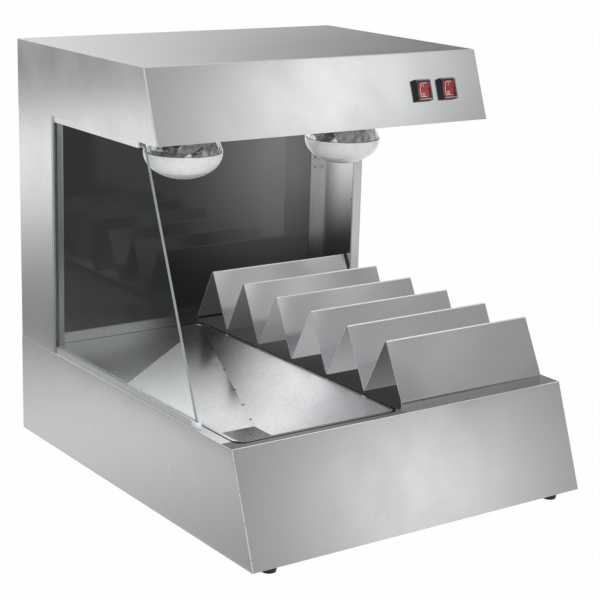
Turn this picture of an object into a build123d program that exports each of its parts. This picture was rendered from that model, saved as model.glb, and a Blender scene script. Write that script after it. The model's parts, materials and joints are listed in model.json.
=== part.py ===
from build123d import *
import math
import os

# Counter-top chip warmer in folded stainless sheet: a sloped-front base with a lift-out chip pan on
# the left and a lift-out ridged bag rack on the right, two rear columns, a tinted back pane, a clear
# side pane and a hood with two reflector lamps and two rocker switches.
# Frame: +X to the right seen from the front, -Y to the front, +Z up, origin at the middle of the
# bounding box's underside. All sizes are millimetres.

# ---------------------------------------------------------------- driving dimensions
# Cabinet
width = 620.0
depth = 712.0                  # base, along its underside
base_height = 163.0
serving_height = 390.5         # deck to underside of hood
hood_height = 109.0
hood_depth = 445.0             # hood, along its underside
front_slope = 20.0             # degrees from upright, base front and hood front
sheet = 1.0
fold = 1.8                     # outer bend radius of a folded edge
weld_round = 0.8               # ground edge of a welded front corner
seam_height = 0.9              # groove where a side panel meets the sheet above it
seam_depth = 0.5
folded_lip = 15.0              # inward return along the underside of the base
hood_lip = 22.0                # inward return along the underside of the hood
rear_lip = 12.0                # return round the hood's rear opening
panel_gap = 0.4                # round a plate that sits in a folded frame
cut = 1.0                      # how far a cutting solid runs past the face it opens

# Feet
foot_height = 13.0
foot_top_radius = 13.0
foot_bottom_radius = 11.0
foot_inset_side = 42.0
foot_inset_end = 22.0
foot_recess_radius = 6.5
foot_recess_depth = 7.0

# Bolts, M5
bolt_radius = 2.5
bolt_head_radius = 4.5
bolt_head_height = 3.0
bolt_nut_height = 4.0
bolt_length = 12.0
foot_bolt_tail = 6.0           # shank above the bottom plate
hex_across = 1.15              # corner radius of a hexagon over its flat radius

# Small screws and rivets
small_screw_radius = 1.9
small_head_radius = 3.6
small_head_height = 2.2
small_screw_length = 7.0
screw_gap = 0.15
screw_margin = 5.0             # screw centre to the free edge of a lip
side_screw_reach = 60.0        # hood panel's side screw in front of the column
panel_screw_spread = 0.7       # outer screws of a row, as a share of half the width
rivet_radius = 2.4
rivet_height = 0.9

# Pan opening in the deck
deck_rear = 75.0               # deck behind the pan opening
deck_left = 18.0               # deck to the left of the pan opening
deck_front = 12.5              # deck in front of the pan opening
opening_corner = 16.0
seat_lip = 9.0                 # flange of the pan's seat frame under the deck
seat_gap = 1.5                 # between the ledge that carries the pan and the pan's wall

# Chip pan
pan_gap = 3.0                  # between the deck's edge and the pan's rim
pan_rim = 6.0
pan_hem = 6.0
pan_depth = 60.0
pan_sheet = 1.0
pan_corner = 20.0
pan_ramp_run = 360.0           # back rim to the foot of the rear ramp
pan_side_run = 122.0           # right rim to the foot of the side ramp
drain_radius = 2.0
drain_spots = (0.15, 0.27, 0.48, 0.67, 0.81, 0.94)   # along the fold, as shares of its length
floor_drain_from_left = 135.0
floor_drain_from_front = 168.0

# Crumb tray
tray_width = 262.0
tray_length = 500.0
tray_height = 18.0
tray_rear_gap = 52.0
tray_left_gap = 24.0

# Ridged rack
rack_width = 281.0
rack_side_gap = 24.0           # rack to the right side of the base
rack_pan_gap = 6.0             # rack to the pan opening
rack_rear_gap = 52.0           # rack to the back of the base
rack_pitch = 97.7
rack_height = 94.0
rack_ridges = 6
rack_sheet = 1.0
rack_lip = 8.0                 # upright lip at the foot of the front slope
rack_fold = 2.0                # flat at each fold

# Columns
column_width = 20.0
column_depth = 118.0
column_bolt_shares = (0.2, 0.45)        # along the column's depth
column_rivet_level = 199.0     # above the deck
column_rivet_inset = 4.0       # behind the column's front face

# Back pane and its channels
pane = 4.0
back_pane_inset = 6.0
back_channel_leg = 17.0
back_channel_sheet = 1.0
rivet_low = 40.0               # lowest rivet above the deck
rivet_pair = 242.0             # lower rivet of the upper pair
rivet_pitch = 19.0
deck_rivet_spacing = 342.0
deck_rivet_from_back = 32.0

# Side pane and its channels
side_channel_inset = 3.0
side_channel_height = 10.0
side_channel_sheet = 1.0
seal = 1.0
side_channel_front = 543.0     # from the back plane to the cut end
side_channel_top_front = 388.0
side_pane_foot = 554.0         # from the back plane to the pane's lower front corner
side_pane_head = 399.0         # and to its upper front corner
side_pane_rear_bite = 12.0     # depth of the rear channel inside the column
stop_length = 14.0

# Lamps
lamp_spacing = 310.0
lamp_from_back = 262.0
lamp_diameter = 125.0
lamp_length = 176.0
lamp_dome = 42.0
lamp_glass = 1.2
lamp_frost = 36.0              # height of the frosted part
lamp_waist = 112.0             # face to the top of the reflector
dome_bulge = (0.8, 0.36)       # point on the dome, as shares of its radius and height
flank_bulge = (0.78, 0.45)     # point on the flank, likewise
neck_radius = 19.0
cap_radius = 13.0
cap_length = 25.0
contact_radius = 4.0
contact_height = 2.0
lamp_hole_gap = 6.0
socket_gap = 0.5

# Lampholders and their rail
holder_radius = 23.0
holder_head = 11.5
holder_skirt = 9.0
holder_round = 3.0
holder_screw_spread = 14.3      # from the holder's middle
rail_width = 54.0
rail_height = 10.0
rail_sheet = 1.5

# Rocker switches on the hood's front
switch_from_right = 73.0       # right switch's centre, from the hood's right side
switch_pitch = 51.0
switch_count = 2
switch_down = 62.0                      # from the hood's top edge along the slope
bezel_width = 33.0
bezel_height = 34.5
bezel_proud = 6.0
switch_neck_width = 29.5
switch_neck_height = 31.0
switch_neck_depth = 26.0
cutout_gap = 0.3
window_width = 24.0
window_height = 28.4
rocker_gap = 0.4
rocker_end_angle = 22.0
rocker_dip = 2.6
rocker_root = 6.0
rocker_tilt = 11.0
rocker_axis_proud = 1.5
pin_radius = 1.5
pin_gap = 0.05
pin_bite = 1.2
pin_end_gap = 0.2
window_floor_gap = 1.0         # under the rocker's swing
cover_wall = 0.8
cover_rim = 0.7                # window's edge to the cover's inner wall
cover_height = 6.5             # above the bezel's face
cover_round = 1.6
bezel_corner = 2.0
bezel_chamfer = 0.8
blade_width = 4.8
blade_sheet = 0.8
blade_length = 8.0

# Electrical pieces in the hood
block_length = 52.0
block_width = 20.0
block_height = 17.0
block_from_right = 78.0
block_from_back = 60.0
block_wells = 5
block_pitch = 10.0
well_radius = 2.6
well_depth = 5.0
well_screw = 3.0
wire_radius = 1.4
wire_bend = 8.0
wire_clear = 28.0              # wire beside a lampholder, and over the terminals
wire_lead = 6.0                # straight run off a blade
gland_radius = 9.0
gland_flange_radius = 13.0
gland_flange = 3.0
gland_reach = 14.0
gland_bore = 4.0
gland_from_right = 78.0
gland_level = 46.0             # above the hood's underside
gland_nut = 5.0
gland_tail = 3.0               # thread past the nut
gland_taper = 2.5
vent_count = 9
vent_pitch = 12.0
vent_width = 3.0
vent_length = 34.0
stud_radius = 2.5
stud_length = 14.0
stud_nut_height = 4.0
stud_from_right = 40.0
stud_from_back = 30.0

# ---------------------------------------------------------------- derived places
slope = math.radians(front_slope)
lean = math.tan(slope)                   # run of a front per height
skew = sheet / math.cos(slope)           # a front sheet measured along Y
half = width / 2
y_back = (depth - gland_reach) / 2
y_front = y_back - depth
z_base = foot_height
z_deck = z_base + base_height
z_hood = z_deck + serving_height
z_top = z_hood + hood_height


def behind(distance):
    """Y of a point this far in front of the back plane."""
    return y_back - distance


def base_front(z):
    """Y of the base's sloped front at a height."""
    return y_front + (z - z_base) * lean


def hood_front(z):
    """Y of the hood's sloped front at a height."""
    return behind(hood_depth) + (z - z_hood) * lean


open_x0 = -half + deck_left
open_y0 = base_front(z_deck) + deck_front
open_y1 = behind(deck_rear)
seat_ledge = pan_gap + pan_rim - pan_sheet - seat_gap
column_inner = half - column_width
rack_x1 = half - rack_side_gap
rack_x0 = rack_x1 - rack_width
open_x1 = rack_x0 - rack_pan_gap
rack_y1 = behind(rack_rear_gap)
channel_x0 = -half + side_channel_inset
channel_width = pane + 2 * seal + 2 * side_channel_sheet
pane_x0 = channel_x0 + side_channel_sheet + seal
rail_z = z_top - sheet - rail_height     # underside of the lamp rail
lamp_top = rail_z - holder_head
lamp_y = behind(lamp_from_back)
lamp_sides = (("left", -lamp_spacing / 2), ("right", lamp_spacing / 2))
block_z = z_hood + 2 * sheet             # top of the hood's underside panel
wells = range(-(block_wells // 2), block_wells // 2 + 1)


# ---------------------------------------------------------------- plain shapes
def block(x0, x1, y0, y1, z0, z1):
    """Box between two corners."""
    return Pos((x0 + x1) / 2, (y0 + y1) / 2, (z0 + z1) / 2) * Box(x1 - x0, y1 - y0, z1 - z0)


def prism_x(outline, x0, x1):
    """Solid with an outline in Y and Z that runs from x0 to x1."""
    face = make_face(Polyline(*[(x0, y, z) for y, z in outline], close=True))
    return extrude(face, amount=x1 - x0, dir=(1, 0, 0))


def rounded_slab(x0, x1, y0, y1, z0, z1, corner):
    """Flat slab with rounded upright corners."""
    outline = Pos((x0 + x1) / 2, (y0 + y1) / 2, z0) * RectangleRounded(x1 - x0, y1 - y0, corner)
    return extrude(outline, amount=z1 - z0, dir=(0, 0, 1))


def rod(x, y, z0, z1, radius):
    """Upright cylinder from z0 to z1."""
    return Pos(x, y, (z0 + z1) / 2) * Cylinder(radius, z1 - z0)


def rod_y(x, z, y0, y1, radius):
    """Cylinder along Y from y0 to y1."""
    return Pos(x, (y0 + y1) / 2, z) * Rot(90, 0, 0) * Cylinder(radius, y1 - y0)


def rod_x(y, z, x0, x1, radius):
    """Cylinder along X from x0 to x1."""
    return Pos((x0 + x1) / 2, y, z) * Rot(0, 90, 0) * Cylinder(radius, x1 - x0)


def rounded_edges(solid, chosen, radius):
    """Solid with the straight edges that a test picks by their middle point rounded off."""
    edges = [edge for edge in solid.edges() if chosen(edge @ 0.5)]
    return fillet(edges, radius)


def folded_hull(outline):
    """Full-width solid with a rounded front fold, ground front corners and its side seams cut."""
    bottom, top = outline[0][1], outline[1][1]
    front = outline[3][0]
    hull = prism_x(outline, -half, half)
    hull = rounded_edges(hull, lambda point: abs(point.X) < half / 2 and point.Z > top - fold
                         and point.Y < y_back - fold, fold)
    hull = rounded_edges(hull, lambda point: abs(point.X) > half - weld_round
                         and point.Y < y_back - hood_depth / 2
                         and bottom + fold < point.Z < top - fold, weld_round)
    for side in (-1, 1):
        ends = sorted((side * (half - seam_depth), side * (half + cut)))
        hull -= block(*ends, front, y_back - folded_lip, top - sheet - seam_height, top - sheet)
    return hull


def save(name, *solids):
    """Write one node, with each separate solid kept apart."""
    shape = solids[0] if len(solids) == 1 else Compound(children=list(solids))
    export_step(shape, f"parts/{name}.step")


# ---------------------------------------------------------------- base
def base_slab(z0, z1, gap):
    """Slab that fills the base's plan between two heights, a gap inside its walls."""
    edge = half - sheet - gap
    rear = y_back - sheet - gap
    outline = [(rear, z0), (rear, z1), (base_front(z1) + skew + gap, z1), (base_front(z0) + skew + gap, z0)]
    return prism_x(outline, -edge, edge)


def bottom_screw_places():
    """Middle of the base's bottom flange, at the corners' thirds."""
    x = half - sheet - folded_lip / 2
    rear = y_back - sheet - folded_lip / 2
    front = base_front(z_base) + skew + folded_lip / 2
    third = (rear - front) / 3
    sides = [(side * x, front + step * third) for side in (-1, 1) for step in (1, 2)]
    return sides + [(side * x / 3, y) for side in (-1, 1) for y in (front, rear)]


def base_shell():
    """Folded sides, back, sloped front and deck, with an inward flange along the underside."""
    outer = [(y_back, z_base), (y_back, z_deck), (base_front(z_deck), z_deck), (y_front, z_base)]
    shell = folded_hull(outer) - base_slab(z_base - sheet, z_deck - sheet, 0)
    opening = rounded_slab(-half + sheet + folded_lip, half - sheet - folded_lip,
                           base_front(z_base) + skew + folded_lip, y_back - sheet - folded_lip,
                           z_base, z_base + 3 * sheet, opening_corner)
    shell += base_slab(z_base + sheet, z_base + 2 * sheet, 0) - opening
    shell -= rounded_slab(open_x0, open_x1, open_y0, open_y1, z_deck - 2 * sheet, z_deck + sheet,
                          opening_corner)
    for x, y in bottom_screw_places():
        shell -= rod(x, y, z_base, z_base + 3 * sheet, small_screw_radius + screw_gap)
    for x, y in column_bolt_places():
        shell -= rod(x, y, z_deck - 2 * sheet, z_deck + sheet, bolt_radius + screw_gap)
    return shell


def foot_places():
    """Centres of the four feet by name."""
    x = half - foot_inset_side
    front, rear = y_front + foot_inset_end, y_back - foot_inset_end
    return {"front_left": (-x, front), "front_right": (x, front),
            "rear_left": (-x, rear), "rear_right": (x, rear)}


def base_bottom_plate():
    """Flat plate that closes the underside, flush inside the walls."""
    plate = base_slab(z_base, z_base + sheet, panel_gap)
    for x, y in bottom_screw_places():
        plate -= rod(x, y, z_base - sheet, z_base + 2 * sheet, small_screw_radius + screw_gap)
    for x, y in foot_places().values():
        plate -= rod(x, y, z_base - sheet, z_base + 2 * sheet, bolt_radius + screw_gap)
    return plate


def screw_up(x, y, z, length):
    """Pan-head screw with its head under a face at z and its shank going up."""
    head = rod(x, y, z - small_head_height, z, small_head_radius)
    return head + rod(x, y, z, z + length, small_screw_radius)


def foot(x, y):
    """Tapered rubber foot with a recess for its bolt."""
    body = Pos(x, y, foot_height / 2) * Cone(foot_bottom_radius, foot_top_radius, foot_height)
    body -= rod(x, y, -cut, foot_recess_depth, foot_recess_radius)
    return body - rod(x, y, 0, foot_height + cut, bolt_radius + screw_gap)


def foot_bolt(x, y):
    """Foot bolt: head in the foot's recess, shank through the plate, nut above it."""
    head = rod(x, y, foot_recess_depth - bolt_head_height, foot_recess_depth, bolt_head_radius)
    shank = rod(x, y, foot_recess_depth, z_base + sheet + foot_bolt_tail, bolt_radius)
    nut_outline = Pos(x, y, z_base + sheet) * RegularPolygon(bolt_head_radius * hex_across, 6)
    return head + shank + extrude(nut_outline, amount=bolt_nut_height, dir=(0, 0, 1))


def ring_slab(z0, z1, grow_out, grow_in):
    """Ring round the pan opening, between the opening grown outwards and grown inwards."""
    outer = rounded_slab(open_x0 - grow_out, open_x1 + grow_out, open_y0 - grow_out, open_y1 + grow_out,
                         z0, z1, opening_corner + grow_out)
    inner = rounded_slab(open_x0 + grow_in, open_x1 - grow_in, open_y0 + grow_in, open_y1 - grow_in,
                         z0 - cut, z1 + cut, opening_corner - min(grow_in, opening_corner / 2))
    return outer - inner


def pan_seat_frame():
    """Z-section frame welded under the deck: flange, upright and the ledge that carries the pan."""
    under = z_deck - sheet
    ledge = z_deck - pan_hem - sheet
    frame = ring_slab(under - sheet, under, seat_lip, 0)
    frame += ring_slab(ledge, under, sheet, 0)
    frame += ring_slab(ledge, ledge + sheet, sheet, seat_ledge)
    return frame


# ---------------------------------------------------------------- chip pan and crumb tray
def pan_hollow(skin):
    """Space inside the pan, grown outwards by a skin: floor, two ramps and upright walls."""
    x0, x1 = open_x0 + pan_gap + pan_rim - skin, open_x1 - pan_gap - pan_rim + skin
    y0, y1 = open_y0 + pan_gap + pan_rim - skin, open_y1 - pan_gap - pan_rim + skin
    rise = pan_depth
    rear_skin = skin * math.hypot(rise, pan_ramp_run) / pan_ramp_run
    side_skin = skin * math.hypot(rise, pan_side_run) / pan_side_run
    corner = pan_corner - pan_rim + skin
    floor = z_deck - pan_depth - skin
    hollow = rounded_slab(x0, x1, y0, y1, floor, z_deck + cut, corner)
    rear = [(y1 + 1, z_deck - rear_skin), (y1 - skin, z_deck - rear_skin),
            (y1 - skin - pan_ramp_run - pan_ramp_run / rise * 2 * skin,
             z_deck - rear_skin - rise - 2 * skin), (y1 + 1, floor - 5 * skin - 5)]
    hollow -= prism_x(rear, x0 - 1, x1 + 1)
    side = [(x1 + 1, z_deck - side_skin), (x1 - skin, z_deck - side_skin),
            (x1 - skin - pan_side_run - pan_side_run / rise * 2 * skin,
             z_deck - side_skin - rise - 2 * skin), (x1 + 1, floor - 5 * skin - 5)]
    face = make_face(Polyline(*[(x, y0 - 1, z) for x, z in side], close=True))
    return hollow - extrude(face, amount=y1 - y0 + 2, dir=(0, 1, 0))


def drain_places():
    """Drain holes: along the fold between the two ramps, and one in the floor."""
    x1 = open_x1 - pan_gap - pan_rim
    y1 = open_y1 - pan_gap - pan_rim
    fold = [(x1 - share * pan_side_run, y1 - share * pan_ramp_run) for share in drain_spots]
    return fold + [(open_x0 + floor_drain_from_left, open_y0 + floor_drain_from_front)]


def chip_pan():
    """Lift-out pan: flat floor at the front left, ramps up to the back and to the right, hemmed rim."""
    x0, x1 = open_x0 + pan_gap, open_x1 - pan_gap
    y0, y1 = open_y0 + pan_gap, open_y1 - pan_gap
    pan = pan_hollow(pan_sheet)
    pan -= block(x0 - cut, x1 + cut, y0 - cut, y1 + cut, z_deck, z_deck + 2 * cut)
    rim = rounded_slab(x0, x1, y0, y1, z_deck - pan_hem, z_deck, pan_corner)
    rim -= rounded_slab(x0 + pan_sheet, x1 - pan_sheet, y0 + pan_sheet, y1 - pan_sheet,
                        z_deck - pan_hem - cut, z_deck - pan_sheet, pan_corner - pan_sheet)
    pan = pan + rim - pan_hollow(0)
    for x, y in drain_places():
        pan -= rod(x, y, z_deck - pan_depth - 2 * pan_sheet, z_deck + cut, drain_radius)
    return pan


def crumb_tray():
    """Loose tray on the bottom plate, under the drain holes."""
    x0 = -half + tray_left_gap
    y1 = behind(tray_rear_gap)
    z0 = z_base + sheet
    tray = rounded_slab(x0, x0 + tray_width, y1 - tray_length, y1, z0, z0 + tray_height, pan_corner)
    return tray - rounded_slab(x0 + sheet, x0 + tray_width - sheet, y1 - tray_length + sheet, y1 - sheet,
                               z0 + sheet, z0 + tray_height + cut, pan_corner - sheet)


# ---------------------------------------------------------------- ridged rack
def rib_rack():
    """One folded sheet: ridges across the deck and an upright lip at the front."""
    thick = rack_sheet * math.hypot(rack_height, rack_pitch / 2) / (rack_pitch / 2)
    top = []
    for ridge in range(rack_ridges):
        start = rack_y1 - ridge * rack_pitch
        top.append((start, z_deck + thick))
        if ridge:
            top.append((start - rack_fold / 2, z_deck + thick))
        top.append((start - rack_pitch / 2 + rack_fold / 2, z_deck + rack_height))
        top.append((start - rack_pitch / 2 - rack_fold / 2, z_deck + rack_height))
    last = rack_y1 - rack_ridges * rack_pitch
    share = (rack_lip + thick) / rack_height
    foot_y = last + share * rack_pitch / 2
    top.append((foot_y, z_deck + rack_lip + thick))
    under = [(y, z - thick) for y, z in top]
    lip = [(foot_y, z_deck), (foot_y + rack_sheet, z_deck),
           (foot_y + rack_sheet, z_deck + rack_lip + thick / 2)]
    sheet_outline = top + lip + list(reversed(under[:-1]))
    return prism_x(sheet_outline, rack_x0, rack_x1)


# ---------------------------------------------------------------- columns
def column_bolt_places():
    """Two bolts in line at each end of each column."""
    x = half - column_width / 2
    return [(side * x, behind(column_depth * share)) for side in (-1, 1) for share in column_bolt_shares]


def column(side):
    """Closed sheet column on one side of the cabinet; side is -1 for the left."""
    x0, x1 = sorted((side * half, side * column_inner))
    y0, y1 = behind(column_depth), y_back
    body = block(x0, x1, y0, y1, z_deck, z_hood)
    body = rounded_edges(body, lambda point: z_deck + fold < point.Z < z_hood - fold, fold)
    body -= block(x0 + sheet, x1 - sheet, y0 + sheet, y1 - sheet, z_deck + sheet, z_hood - sheet)
    if side < 0:
        body -= block(channel_x0, channel_x0 + channel_width, y0 - cut, y0 + side_pane_rear_bite,
                      z_deck - cut, z_hood + cut)
    for x, y in column_bolt_places():
        body -= rod(x, y, z_deck - cut, z_hood + cut, bolt_radius + screw_gap)
    return body


def column_bolts():
    """Bolts up through the deck and down through the hood's lip into the columns."""
    bolts = []
    for x, y in column_bolt_places():
        for level, way in ((z_deck - sheet, 1), (z_hood + 2 * sheet, -1)):
            ends = sorted((level, level - way * bolt_head_height))
            head = rod(x, y, ends[0], ends[1], bolt_head_radius)
            ends = sorted((level, level + way * bolt_length))
            bolts.append(head + rod(x, y, ends[0], ends[1], bolt_radius))
    return bolts


# ---------------------------------------------------------------- back pane
def back_glass():
    """Tinted pane between the columns."""
    edge = column_inner - back_channel_sheet - panel_gap
    rear = behind(back_pane_inset)
    return block(-edge, edge, rear - pane, rear, z_deck, z_hood - panel_gap)


def back_channel(side):
    """U channel on a column's inner face that holds one upright edge of the pane."""
    x0, x1 = sorted((side * column_inner, side * (column_inner - back_channel_leg)))
    rear = behind(back_pane_inset)
    channel = block(x0, x1, rear - pane - back_channel_sheet, rear + back_channel_sheet, z_deck, z_hood)
    inner = sorted((side * (column_inner - back_channel_sheet),
                    side * (column_inner - back_channel_leg - cut)))
    return channel - block(inner[0], inner[1], rear - pane, rear, z_deck - cut, z_hood + cut)


def channel_rivets():
    """Rivet heads on the front legs of the back pane's channels."""
    face = behind(back_pane_inset + pane + back_channel_sheet)
    x = column_inner - back_channel_leg / 2
    return [rod_y(side * x, z_deck + level, face - rivet_height, face, rivet_radius)
            for side in (-1, 1) for level in (rivet_low, rivet_pair, rivet_pair + rivet_pitch)]


def column_rivets():
    """Rivet heads on the columns' inner faces, close behind their front edges."""
    y, z = behind(column_depth - column_rivet_inset), z_deck + column_rivet_level
    return [rod_x(y, z, *sorted((side * column_inner, side * (column_inner - rivet_height))), rivet_radius)
            for side in (-1, 1)]


def deck_rivets():
    """Rivet heads on the deck between the back pane and the pan."""
    return [rod(side * deck_rivet_spacing / 2, behind(deck_rivet_from_back), z_deck, z_deck + rivet_height,
                rivet_radius) for side in (-1, 1)]


# ---------------------------------------------------------------- side pane
def channel_level(y0, y1, z0, way):
    """U channel along Y with its web at z0 and its legs going up or down."""
    z1 = z0 + way * side_channel_height
    low, high = sorted((z0, z1))
    body = block(channel_x0, channel_x0 + channel_width, y0, y1, low, high)
    low, high = sorted((z0 + way * side_channel_sheet, z1 + way * cut))
    return body - block(channel_x0 + side_channel_sheet, channel_x0 + channel_width - side_channel_sheet,
                        y0 - cut, y1 + cut, low, high)


def seal_level(y0, y1, z0, way):
    """Clear U seal inside a level channel."""
    z0 += way * side_channel_sheet
    z1 = z0 + way * (side_channel_height - side_channel_sheet)
    low, high = sorted((z0, z1))
    body = block(pane_x0 - seal, pane_x0 + pane + seal, y0, y1, low, high)
    low, high = sorted((z0 + way * seal, z1 + way * cut))
    return body - block(pane_x0, pane_x0 + pane, y0 - cut, y1 + cut, low, high)


def side_channels():
    """The side pane's bottom, top and rear channels by node name."""
    front = behind(column_depth)
    rear = block(channel_x0, channel_x0 + channel_width, front, front + side_pane_rear_bite, z_deck, z_hood)
    rear -= block(channel_x0 + side_channel_sheet, channel_x0 + channel_width - side_channel_sheet,
                  front - cut, front + side_pane_rear_bite - side_channel_sheet, z_deck - cut, z_hood + cut)
    return {"side_glass_channel_bottom": channel_level(behind(side_channel_front), front, z_deck, 1),
            "side_glass_channel_top": channel_level(behind(side_channel_top_front), front, z_hood, -1),
            "side_glass_channel_rear": rear}


def side_seals():
    """Clear seals in the bottom and top channels."""
    front = behind(column_depth)
    return [seal_level(behind(side_channel_front), front, z_deck, 1),
            seal_level(behind(side_channel_top_front), front, z_hood, -1)]


def side_glass():
    """Clear pane with a slanted front edge, in its three channels."""
    lift = side_channel_sheet + seal
    rear = behind(column_depth - side_pane_rear_bite) - side_channel_sheet - seal
    outline = [(rear, z_deck + lift), (rear, z_hood - lift), (behind(side_pane_head), z_hood - lift),
               (behind(side_pane_foot), z_deck + lift)]
    return prism_x(outline, pane_x0, pane_x0 + pane)


def side_glass_stop():
    """Clear block at the cut end of the bottom channel, round the pane's lower corner."""
    body = block(channel_x0, channel_x0 + channel_width, behind(side_channel_front + stop_length),
                 behind(side_channel_front), z_deck, z_deck + side_channel_height)
    lift = side_channel_sheet + seal
    return body - block(pane_x0 - panel_gap, pane_x0 + pane + panel_gap,
                        behind(side_pane_foot) - panel_gap, behind(side_channel_front) + cut,
                        z_deck + lift, z_deck + side_channel_height + cut)


# ---------------------------------------------------------------- hood
def hood_slab(z0, z1, rear, gap):
    """Slab that fills the hood's plan between two heights, a gap inside its side and front walls."""
    edge = half - sheet - gap
    outline = [(rear, z0), (rear, z1), (hood_front(z1) + skew + gap, z1), (hood_front(z0) + skew + gap, z0)]
    return prism_x(outline, -edge, edge)


def underside_screw_places():
    """Screws that hold the lamp panel to the hood's lip."""
    x = half - sheet - hood_lip + screw_margin
    front = hood_front(z_hood) + skew + hood_lip / 2
    sides = [(side * x, behind(column_depth + side_screw_reach)) for side in (-1, 1)]
    return sides + [(share * half, front) for share in (-panel_screw_spread, 0, panel_screw_spread)]


def rear_screw_places():
    """Screws that hold the hood's rear panel, as X and Z."""
    top = z_top - sheet - rear_lip / 2
    side = half - sheet - rear_lip / 2
    row = [(share * half, top) for share in (-panel_screw_spread, 0, panel_screw_spread)]
    return row + [(hand * side, z_hood + hood_height / 2) for hand in (-1, 1)]


def switch_plane(index):
    """Frame on the hood's front at a switch: X right, Y up the slope, Z outwards."""
    place = (half - switch_from_right - (switch_count - 1 - index) * switch_pitch,
             hood_front(z_top) - switch_down * math.sin(slope),
             z_top - switch_down * math.cos(slope))
    return Plane(origin=place, x_dir=(1, 0, 0), z_dir=(0, -math.cos(slope), math.sin(slope)))


def hood_shell():
    """Folded top, sides and sloped front with inward lips below and round the rear opening."""
    outer = [(y_back, z_hood), (y_back, z_top), (hood_front(z_top), z_top), (hood_front(z_hood), z_hood)]
    shell = folded_hull(outer) - hood_slab(z_hood - sheet, z_top - sheet, y_back + cut, 0)
    edge = half - sheet - hood_lip
    window = block(-edge, edge, hood_front(z_hood) + skew + hood_lip, y_back - hood_lip,
                   z_hood - cut, z_hood + 2 * sheet)
    shell += hood_slab(z_hood, z_hood + sheet, y_back, 0) - window
    frame = block(-half + sheet, half - sheet, y_back - 2 * sheet, y_back - sheet,
                  z_hood + sheet, z_top - sheet)
    inset = sheet + rear_lip
    shell += frame - block(-half + inset, half - inset, y_back - 3 * sheet, y_back,
                           z_hood + inset, z_top - inset)
    for index in range(switch_count):
        shell -= switch_plane(index) * Box(switch_neck_width + 2 * cutout_gap,
                                           switch_neck_height + 2 * cutout_gap,
                                           6 * sheet)
    for x, y in underside_screw_places():
        shell -= rod(x, y, z_hood - cut, z_hood + 2 * sheet, small_screw_radius + screw_gap)
    for x, y in column_bolt_places():
        shell -= rod(x, y, z_hood - cut, z_hood + 2 * sheet, bolt_radius + screw_gap)
    for x, z in rear_screw_places():
        shell -= rod_y(x, z, y_back - 4 * sheet, y_back, small_screw_radius + screw_gap)
    return shell


def hood_underside_panel():
    """Lamp panel that lies on the hood's lips, with a hole round each lamp."""
    panel = hood_slab(z_hood + sheet, z_hood + 2 * sheet, y_back - 2 * sheet - panel_gap, panel_gap)
    for _, x in lamp_sides:
        panel -= rod(x, lamp_y, z_hood, z_hood + 3 * sheet, lamp_diameter / 2 + lamp_hole_gap)
    for x, y in underside_screw_places():
        panel -= rod(x, y, z_hood, z_hood + 3 * sheet, small_screw_radius + screw_gap)
    for x, y in column_bolt_places():
        panel -= rod(x, y, z_hood, z_hood + 3 * sheet, bolt_radius + screw_gap)
    return panel


def hood_rear_panel():
    """Flat rear panel with vent slots and the hole for the cable gland."""
    edge = half - sheet - panel_gap
    panel = block(-edge, edge, y_back - sheet, y_back, z_hood + sheet + panel_gap, z_top - sheet - panel_gap)
    middle = z_hood + hood_height / 2
    for index in range(vent_count):
        x = (index - (vent_count - 1) / 2) * vent_pitch
        for side in (-1, 1):
            panel -= block(side * half / 2 + x - vent_width / 2, side * half / 2 + x + vent_width / 2,
                           y_back - 2 * sheet, y_back + cut,
                           middle - vent_length / 2, middle + vent_length / 2)
    panel -= rod_y(half - gland_from_right, z_hood + gland_level, y_back - 2 * sheet, y_back + cut,
                   gland_radius + screw_gap)
    for x, z in rear_screw_places():
        panel -= rod_y(x, z, y_back - 2 * sheet, y_back + cut, small_screw_radius + screw_gap)
    return panel


def rear_panel_screws():
    """Pan-head screws in the hood's rear panel."""
    return [rod_y(x, z, y_back - sheet - small_screw_length, y_back, small_screw_radius)
            + rod_y(x, z, y_back, y_back + small_head_height, small_head_radius)
            for x, z in rear_screw_places()]


# ---------------------------------------------------------------- lamps
def lamp_rail():
    """U rail under the hood's top that carries both lampholders."""
    edge = half - sheet
    rail = block(-edge, edge, lamp_y - rail_width / 2, lamp_y + rail_width / 2, rail_z, z_top - sheet)
    rail -= block(-edge - cut, edge + cut,
                  lamp_y - rail_width / 2 + rail_sheet, lamp_y + rail_width / 2 - rail_sheet,
                  rail_z + rail_sheet, z_top)
    for x, y in holder_screw_places():
        rail -= rod(x, y, rail_z - cut, rail_z + 2 * rail_sheet, small_screw_radius + screw_gap)
    return rail


def holder_screw_places():
    """Two screws beside the middle of each lampholder."""
    return [(x + side * holder_screw_spread, lamp_y) for _, x in lamp_sides for side in (-1, 1)]


def lampholder(x):
    """Ceramic holder under the rail, open below for the lamp's cap."""
    bottom = lamp_top - cap_length - holder_skirt
    body = rod(x, lamp_y, bottom, rail_z, holder_radius)
    body = fillet(body.edges().filter_by(GeomType.CIRCLE).group_by(Axis.Z)[0], holder_round)
    body -= rod(x, lamp_y, bottom - cut, lamp_top, cap_radius + socket_gap + sheet)
    body -= rod(x, lamp_y, bottom - cut, lamp_top - cap_length, neck_radius + 2 * socket_gap)
    for px, py in holder_screw_places():
        body -= rod(px, py, rail_z - small_screw_length, rail_z + cut, small_screw_radius + screw_gap)
    return body


def holder_sleeve(x):
    """Brass screw sleeve in the holder, round the lamp's cap."""
    outer = cap_radius + socket_gap + sheet
    return (rod(x, lamp_y, lamp_top - cap_length, lamp_top, outer)
            - rod(x, lamp_y, lamp_top - cap_length - cut, lamp_top + cut, cap_radius + socket_gap))


def holder_screws():
    """Screws down from the rail into the lampholders."""
    face = rail_z + rail_sheet
    return [rod(x, y, face, face + small_head_height, small_head_radius)
            + rod(x, y, face - small_screw_length, face, small_screw_radius)
            for x, y in holder_screw_places()]


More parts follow.
